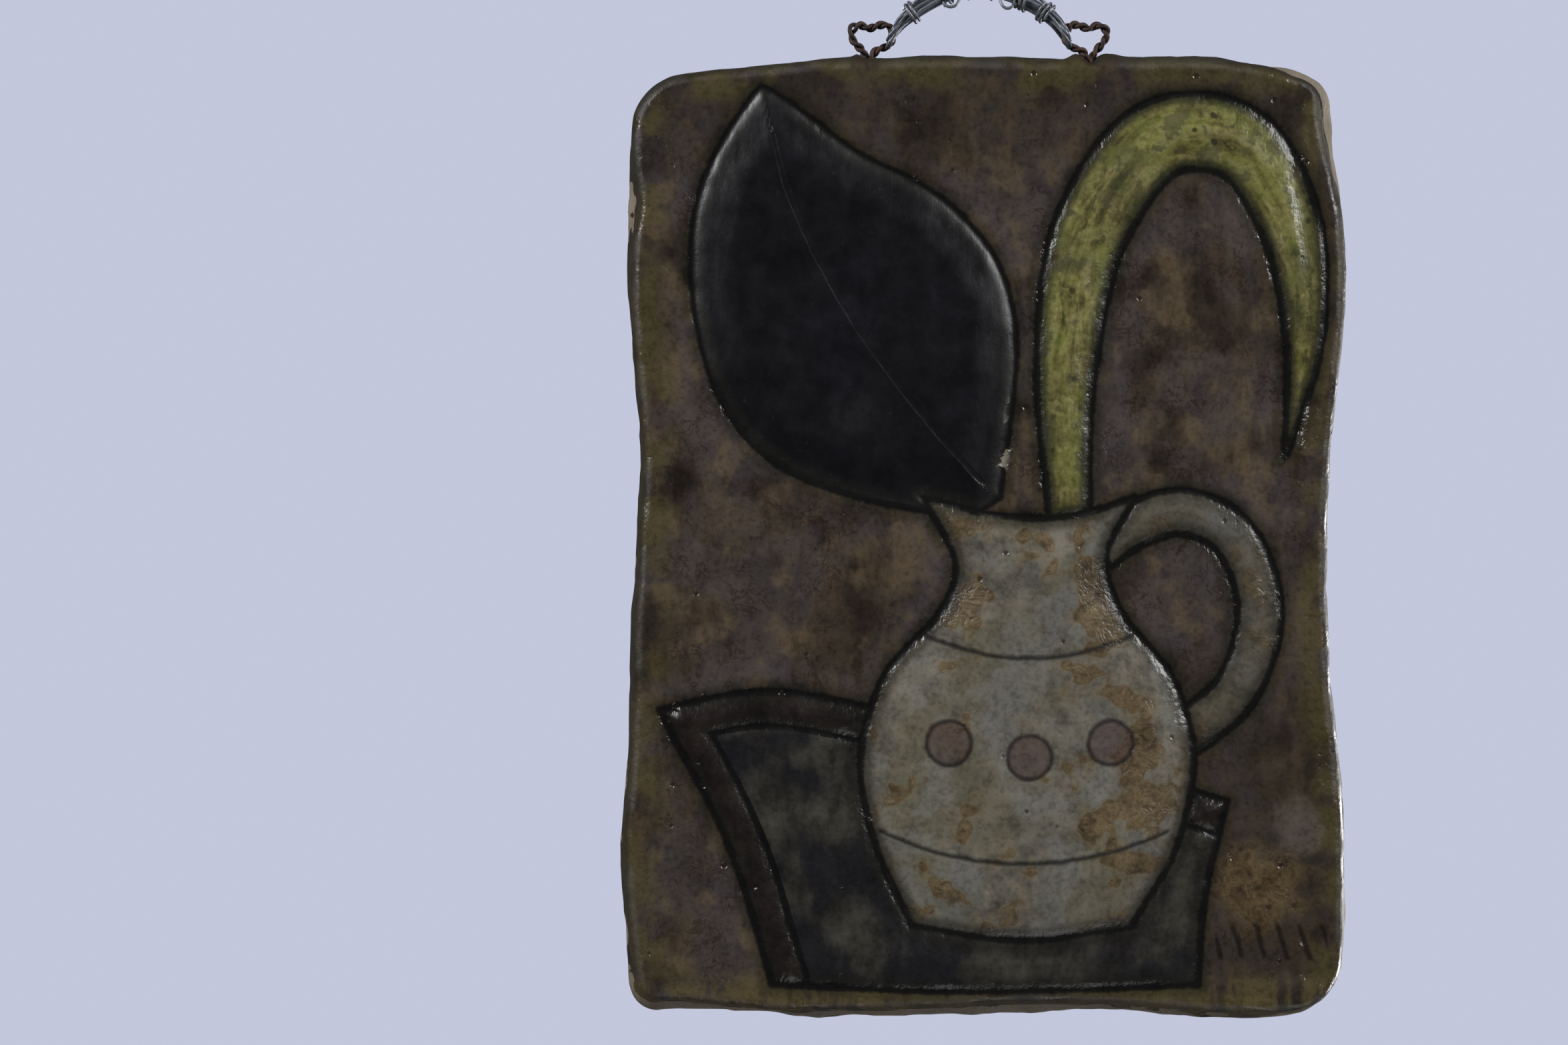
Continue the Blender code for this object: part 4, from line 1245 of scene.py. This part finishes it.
    def surface(self) -> Surface:
        """Builds the whole closed surface, its face a grid of concentric squares carried to the outline.

        Returns:
            The surface, with the distances that its glazes follow.
        """
        form = self.form
        square, share = self.face_square()
        border = self.border()
        way_out = np.where(share[:, None] > 0, square, [[1.0, 0.0]])
        all_flare = form.clay_flare(form.rim(way_out, 0.0))
        plain = form.rim(way_out, all_flare + form.lip_rounding) * share[:, None]
        face = form.pressed(plain)
        edge = np.minimum(form.half_width - np.abs(plain[:, 0]), form.half_height - np.abs(plain[:, 1]))
        edge -= all_flare * share
        parts = self.art.fields(face)
        height = self.art.height(face, parts, form.thickness) + self.handwork(face, edge - form.lip_rounding)

        flare = all_flare[border]
        rings = self.rings(square[border], flare, height[border])
        numbers = len(face) + np.arange(len(rings) * len(border)).reshape(len(rings), -1)
        rows = np.vstack([border, numbers])
        grid = np.arange(len(face)).reshape(self.down + 1, self.across + 1)
        quads = np.stack([grid[:-1, :-1], grid[:-1, 1:], grid[1:, 1:], grid[1:, :-1]], -1).reshape(-1, 4)

        layout = np.vstack([face] + [ring.outline for ring in rings])
        levels = np.concatenate([height] + [ring.level for ring in rings])
        x, y = layout[:, 0] - HANGER_OFFSET, form.thickness / 2 - levels
        points = np.stack([x, y, layout[:, 1] - form.origin_height()], -1)
        beyond = self.art.fields(layout[len(face) :])
        values = {name: np.concatenate([parts[name], beyond[name]]) for name in parts}
        values["edge"] = np.concatenate([edge] + [ring.edge for ring in rings])
        values["side"] = np.repeat([0.0] + [ring.side for ring in rings], [len(face)] + [len(border)] * len(rings))
        values["flare"] = np.concatenate([all_flare, np.tile(flare, len(rings))])
        values["layout_x"], values["layout_z"] = layout[:, 0], layout[:, 1]
        return Surface(points, np.vstack([quads, ring_quads(rows[1:], rows[:-1])]), values, [rows[-1].tolist()])

    def build(self) -> None:
        """Puts the dressed slab in the scene."""
        finish = PlaqueFinish(self.art).material()
        self.surface().put("glazed_plaque", finish, "glazed_clay", ("ceramic_plaque",))


@dataclass
class TwistedEyelet:
    """A loop of two iron wires twisted together, its two ends sunk in the slab's top edge."""

    side: Side
    form: SlabForm = field(default_factory=SlabForm)
    spacing: float = 60.7
    width: float = 11.8
    height: float = 9.4
    wire: float = 0.62
    pair: float = 0.56
    pitch: float = 6.0
    stem_depth: float = 7.0
    leg_share: float = 0.66

    def base(self) -> Array:
        """Where the loop meets the slab, as (x, z)."""
        x = self.side.value * self.spacing / 2
        return np.array([x, self.form.top_edge(x + HANGER_OFFSET) - self.form.origin_height()])

    def loop(self) -> Array:
        """The loop's heart-shaped centreline from its base round and back to it, as (x, z)."""
        shape = [
            (0.05, 0.02), (0.19, 0.24), (0.39, 0.34), (0.52, 0.48), (0.56, 0.66),
            (0.54, 0.86), (0.43, 0.98), (0.22, 0.97), (0.01, 0.88), (-0.19, 0.98),
            (-0.35, 0.90), (-0.40, 0.70), (-0.31, 0.45), (-0.16, 0.26), (-0.05, 0.02),
        ]  # fmt: skip
        x, z = self.base()
        return stroke([(x - self.side.value * a * self.width, z + b * self.height) for a, b in shape], 0.3)

    def leg(self) -> tuple[Array, Array]:
        """The place on the inner leg that the handle hooks round, and the leg's lean there."""
        line = self.loop()
        lift = self.base()[1] + self.height * self.leg_share
        half = line[: len(line) // 2]
        i = int(np.argmin(np.abs(half[:, 1] - lift)))
        along = half[i + 1] - half[i - 1]
        return half[i], unit(along * np.sign(along[1]))

    def surface(self) -> Surface:
        """Both wires: each winds round the loop's centreline, half a turn apart."""
        base, side = self.base(), self.side.value
        foot = np.array([-side * 0.065 * self.width, 0.0])
        down = np.linspace(self.stem_depth, 0.3, 14)[:, None] * np.array([[0.0, -1.0]])
        path = standing(np.vstack([base + foot + down, self.loop()[1:-1], base - foot + down[::-1]]), 0.0)
        run = lengths_along(path)
        front = np.tile([0.0, 1.0, 0.0], (len(path), 1))
        across = np.cross(tangents(path), front)
        open_at = run[-1] * (0.40 if self.side is Side.RIGHT else 0.62)
        reach = self.pair * (1 + 0.12 * np.sin(run * 0.9)) + 0.35 * bump_at(run, open_at, 1.3)
        wires = []
        for phase in (0.0, math.pi):
            turn = 2 * math.pi * run / self.pitch + phase + 0.35 * np.sin(run * 0.55 + side)
            offset = across * np.cos(turn)[:, None] + front * np.sin(turn)[:, None]
            radius = self.wire * (1 + 0.05 * np.sin(run * 2.3 + phase))
            wires.append(tube(path + offset * reach[:, None], across[0], radius, 10))
        return reduce(Surface.joined, wires)

    def build(self, finish: bpy.types.Material) -> None:
        """Puts the dressed eyelet in the scene."""
        name = self.side.name.lower()
        self.surface().put(f"{name}_twisted_wires", finish, "rusted_iron", (f"{name}_eyelet",))


@dataclass
class WireHandle:
    """The handle: one thin steel wire led to and fro through both eyelets, then bound on itself."""

    left: TwistedEyelet
    right: TwistedEyelet
    turns: int = 8
    wire: float = 0.43
    height: float = HANDLE_HEIGHT
    hook_height: float = 4.6
    depth: float = 5.6
    step: float = 0.7
    layers: int = 3
    hook_radius: float = 1.6
    layer_step: float = 0.55
    hook_pitch: float = 0.62
    binding_gap: float = 0.22

    def __post_init__(self) -> None:
        """Works out the arch once, and its rise: 0 at the hooks and 1 over the crown."""
        self.line = self.arch()
        self.shares = shares_along(self.line)
        self.rise = ease(1.15 * np.sin(math.pi * self.shares) ** 0.5)

    def arch(self) -> Array:
        """The arch's middle line as (x, z), from the left hook over the crown to the right one."""
        crown = np.array([0.0, self.height / 2])
        shares = [(0.0, 0.0), (0.12, 0.31), (0.32, 0.60), (0.46, 0.74), (0.70, 0.92), (1.0, 1.0)]
        halves = []
        for eyelet in (self.left, self.right):
            leg, _ = eyelet.leg()
            halves.append([leg + (crown - leg) * share for share in shares])
        return stroke(halves[0] + halves[1][::-1][1:], self.step)

    def station(self, place: float) -> int:
        """The number of the arch's point at a place, from -1 at the left hook to 1 at the right one."""
        return int(np.argmin(np.abs(self.shares - (place + 1) / 2)))

    def lay(self, run: int) -> tuple[float, float]:
        """A run's place in the bundle's middle: runs are spread like seeds on a sunflower head.

        Args:
            run: The run's number.

        Returns:
            Its angle, and its reach as a share of the bundle's.
        """
        count = 2 * self.turns
        order = (run * 5) % count
        return order * GOLDEN_ANGLE, ((order + 0.5) / count) ** 0.4

    def main_wire(self) -> Array:
        """The long wire's path, in millimetres.

        Every run follows the arch, offset to its own place in the bundle, and drifts round it on
        the way. At each hook it turns half round the eyelet's leg in its own layer.
        """
        line, rise, t = self.line, self.rise, self.shares
        up_line = left_normals(line)
        up_line *= np.sign(up_line[:, 1:2])
        bend = np.linspace(0, math.pi, 11)[1:-1]
        path = []
        for run in range(2 * self.turns):
            outward, turn_no = run % 2 == 0, run // 2
            eyelet, front = (self.right, -1) if outward else (self.left, 1)
            radius = self.hook_radius + self.layer_step * (turn_no % self.layers)
            hook_high = self.hook_pitch * (turn_no - (self.turns - 1) / 2) + 0.3
            hook_deep = front * radius
            angle, reach = self.lay(run)
            drift = 1.3 * math.sin(run * 1.7) * t + 0.25 * np.sin(t * (9 + run % 4) + run)
            sway = 1 + 0.06 * np.sin(14 * t + run)
            high = (self.height / 2 - self.wire) * reach * np.cos(angle + drift) * sway
            deep = (self.depth / 2 - self.wire) * reach * np.sin(angle + drift)
            flat = line + up_line * (hook_high + (high - hook_high) * rise)[:, None]
            for end, near in ((self.left, t < 0.5), (self.right, t >= 0.5)):
                flat = flat + ((1 - rise) * near)[:, None] * (end.leg()[1] - up_line) * hook_high
            stations = standing(flat, hook_deep + (deep - hook_deep) * rise)
            path.append(stations if outward else stations[::-1])
            leg, lean = eyelet.leg()
            onward = unit(line[-1] - line[-4] if outward else line[0] - line[3])
            flat = leg + lean * hook_high + onward * (1.1 * radius * np.sin(bend))[:, None]
            path.append(standing(flat, hook_deep * np.cos(bend)))
        return softened(np.vstack(path[:-1]), 3)

    def binding(self, place: float, turns: float, lean: float, tail: float, phase: float) -> Surface:
        """A short wire wound round the bundle, ending in a tail that stands off it.

        It is a helix on the bundle's elliptical section. Its tail leaves on a tangent and curls.

        Args:
            place: Where it is, from -1 at the left hook to 1 at the right one.
            turns: How many times it goes round.
            lean: How far it moves along the bundle in all, in millimetres.
            tail: The tail's length, in millimetres.
            phase: Where round the bundle it starts.

        Returns:
            The wire's surface.
        """
        i = self.station(place)
        x, z = unit(self.line[i + 1] - self.line[i - 1])
        middle = np.array([self.line[i, 0], 0.0, self.line[i, 1]])
        along, up, deep = np.array([x, 0.0, z]), np.array([-z, 0.0, x]), np.array([0.0, 1.0, 0.0])
        tall = (self.hook_height + (self.height - self.hook_height) * self.rise[i]) / 2 + self.binding_gap
        wide = self.depth / 2 + self.binding_gap - 0.1
        turn = np.linspace(0, 2 * math.pi * turns, max(12, int(26 * turns)))
        angle = turn + phase
        wind = (turn / turn[-1] - 0.5) * lean + 0.5 * np.sin(angle)
        section = up * (tall * np.cos(angle))[:, None] + deep * (wide * np.sin(angle))[:, None]
        path = middle + along * wind[:, None] + section
        if tail > 0:
            s = np.linspace(0, 1, 14)[1:, None]
            curl = (along * 0.5 - up * 0.35) * tail * s**2
            path = np.vstack([path, path[-1] + unit(path[-1] - path[-2]) * tail * s + curl])
        return tube(path, along, self.wire)

    def hanging_loop(self, place: float, length: float, wide: float) -> Surface:
        """A slack bight of wire that hangs below the bundle: half an ellipse between two wraps."""
        x, z = self.line[self.station(place)]
        s = np.linspace(-0.35, math.pi + 0.35, 34)
        x = x + wide / 2 * np.cos(s)
        z = z - self.height * 0.36 - length * np.maximum(np.sin(s), -0.4)
        return tube(np.stack([x, -1.3 - 1.0 * np.sin(s), z], -1), np.array([0.0, 1.0, 0.0]), self.wire)

    def build(self, finish: bpy.types.Material) -> None:
        """Puts the long wire and its bindings in the scene."""
        long_wire = tube(self.main_wire(), np.array([0.0, 0.0, 1.0]), self.wire)
        long_wire.put("handle_wires", finish, "steel_wire", ("wire_handle",))
        bindings = (
            (-0.70, 2.2, 2.6, 1.2, 0.4),
            (-0.34, 1.3, -2.8, 0.0, 1.0),
            (-0.08, 2.2, -2.4, 1.0, 3.2),
            (0.16, 1.3, 2.8, 0.0, 0.2),
            (0.44, 2.2, -2.8, 1.2, 2.4),
            (0.70, 2.2, -2.6, 0.0, 4.0),
        )
        made = [self.binding(*one) for one in bindings]
        made += [self.hanging_loop(*one) for one in ((-0.27, 2.4, 4.6), (0.27, 2.8, 4.0))]
        reduce(Surface.joined, made).put("handle_bindings", finish, "steel_wire")


# ---- room


@dataclass
class Studio:
    """A pale floor, a dim pale room, soft lights round the slab and over the floor, and the camera."""

    floor_z: float = -1.6
    floor_half: float = 4.0
    slab_middle: tuple[float, float, float] = (0.0, 0.0, -0.148)
    camera: tuple[float, float, float] = (-0.0535, -1.0165, -0.1442)
    lens: float = 85.0
    sensor: float = 36.0

    def floor(self) -> None:
        """Adds the plain floor, which isn't part of the object and throws no light back on it."""
        half, z = self.floor_half, self.floor_z
        corners = [(-half, -half, z), (half, -half, z), (half, half, z), (-half, half, z)]
        mesh = bpy.data.meshes.new("floor")
        mesh.from_pydata(corners, [], [(0, 1, 2, 3)])
        f = Finish("pale_floor")
        colour = f.ramp(f.noise(300.0, 2.0), (0.3, Pigment(205, 208, 218)), (0.7, Pigment(212, 215, 225)))
        mesh.materials.append(f.dress(colour, 0.85, f.noise(4.0, 1.0) * 0.02))
        sheet = bpy.data.objects.new("floor", mesh)
        bpy.context.scene.collection.objects.link(sheet)
        sheet.visible_diffuse = False
        sheet.visible_glossy = False

    def light(
        self, name: str, at: tuple[float, float, float], size: float, power: float, down: bool = False
    ) -> None:
        """Adds a soft square light that the camera doesn't see.

        Args:
            name: The light's name.
            at: Where it is.
            size: The length of its sides.
            power: Its power in watts.
            down: Whether it faces the floor below it, and not the slab.
        """
        lamp = bpy.data.lights.new(name, "AREA")
        lamp.shape = "SQUARE"
        lamp.size = size
        lamp.energy = power
        thing = bpy.data.objects.new(name, lamp)
        thing.location = at
        if not down:
            thing.rotation_euler = (Vector(self.slab_middle) - Vector(at)).to_track_quat("-Z", "Y").to_euler()
        thing.visible_camera = False
        bpy.context.scene.collection.objects.link(thing)

    def world(self) -> None:
        """A dim room all round, which the camera sees as pale."""
        world = bpy.data.worlds.new("room")
        bpy.context.scene.world = world
        world.use_nodes = True
        nodes, links = world.node_tree.nodes, world.node_tree.links
        seen, dim = nodes["Background"], nodes.new("ShaderNodeBackground")
        seen.inputs[0].default_value = Pigment(195, 199, 220).linear()
        dim.inputs[0].default_value = (0.90, 0.94, 1.0, 1.0)
        dim.inputs[1].default_value = 0.06
        mixed = nodes.new("ShaderNodeMixShader")
        links.new(nodes.new("ShaderNodeLightPath").outputs["Is Camera Ray"], mixed.inputs[0])
        links.new(dim.outputs[0], mixed.inputs[1])
        links.new(seen.outputs[0], mixed.inputs[2])
        links.new(mixed.outputs[0], nodes["World Output"].inputs["Surface"])

    def build(self) -> None:
        """Builds the room and the camera."""
        scene = bpy.context.scene
        scene.view_settings.view_transform = "Standard"
        self.floor()
        self.light("left", (-1.5, -0.85, 0.85), 0.9, 35.0)
        self.light("right", (1.5, -0.85, 0.7), 0.9, 30.0)
        self.light("low", (0.3, -0.4, -1.3), 0.9, 3.2)
        self.light("behind", (1.6, 1.3, -0.6), 1.0, 30.0)
        self.light("floor", (0.0, 0.0, -1.2), 9.0, 160.0, down=True)
        self.world()
        eye = bpy.data.cameras.new("camera")
        eye.lens, eye.sensor_width = self.lens, self.sensor
        eye.clip_start = 0.02
        stand = bpy.data.objects.new("camera", eye)
        stand.location = self.camera
        stand.rotation_euler = (math.radians(90), 0.0, 0.0)
        scene.collection.objects.link(stand)
        scene.camera = stand


def main() -> None:
    """Builds the plaque, its eyelets, its handle and the room."""
    logging.basicConfig(level=logging.INFO, format="%(name)s: %(message)s")
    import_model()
    Studio().build()
    GlazedPlaque().build()
    rust, steel = rust_finish(), steel_finish()
    left, right = TwistedEyelet(Side.LEFT), TwistedEyelet(Side.RIGHT)
    left.build(rust)
    right.build(rust)
    WireHandle(left, right).build(steel)


if __name__ == "__main__":
    main()
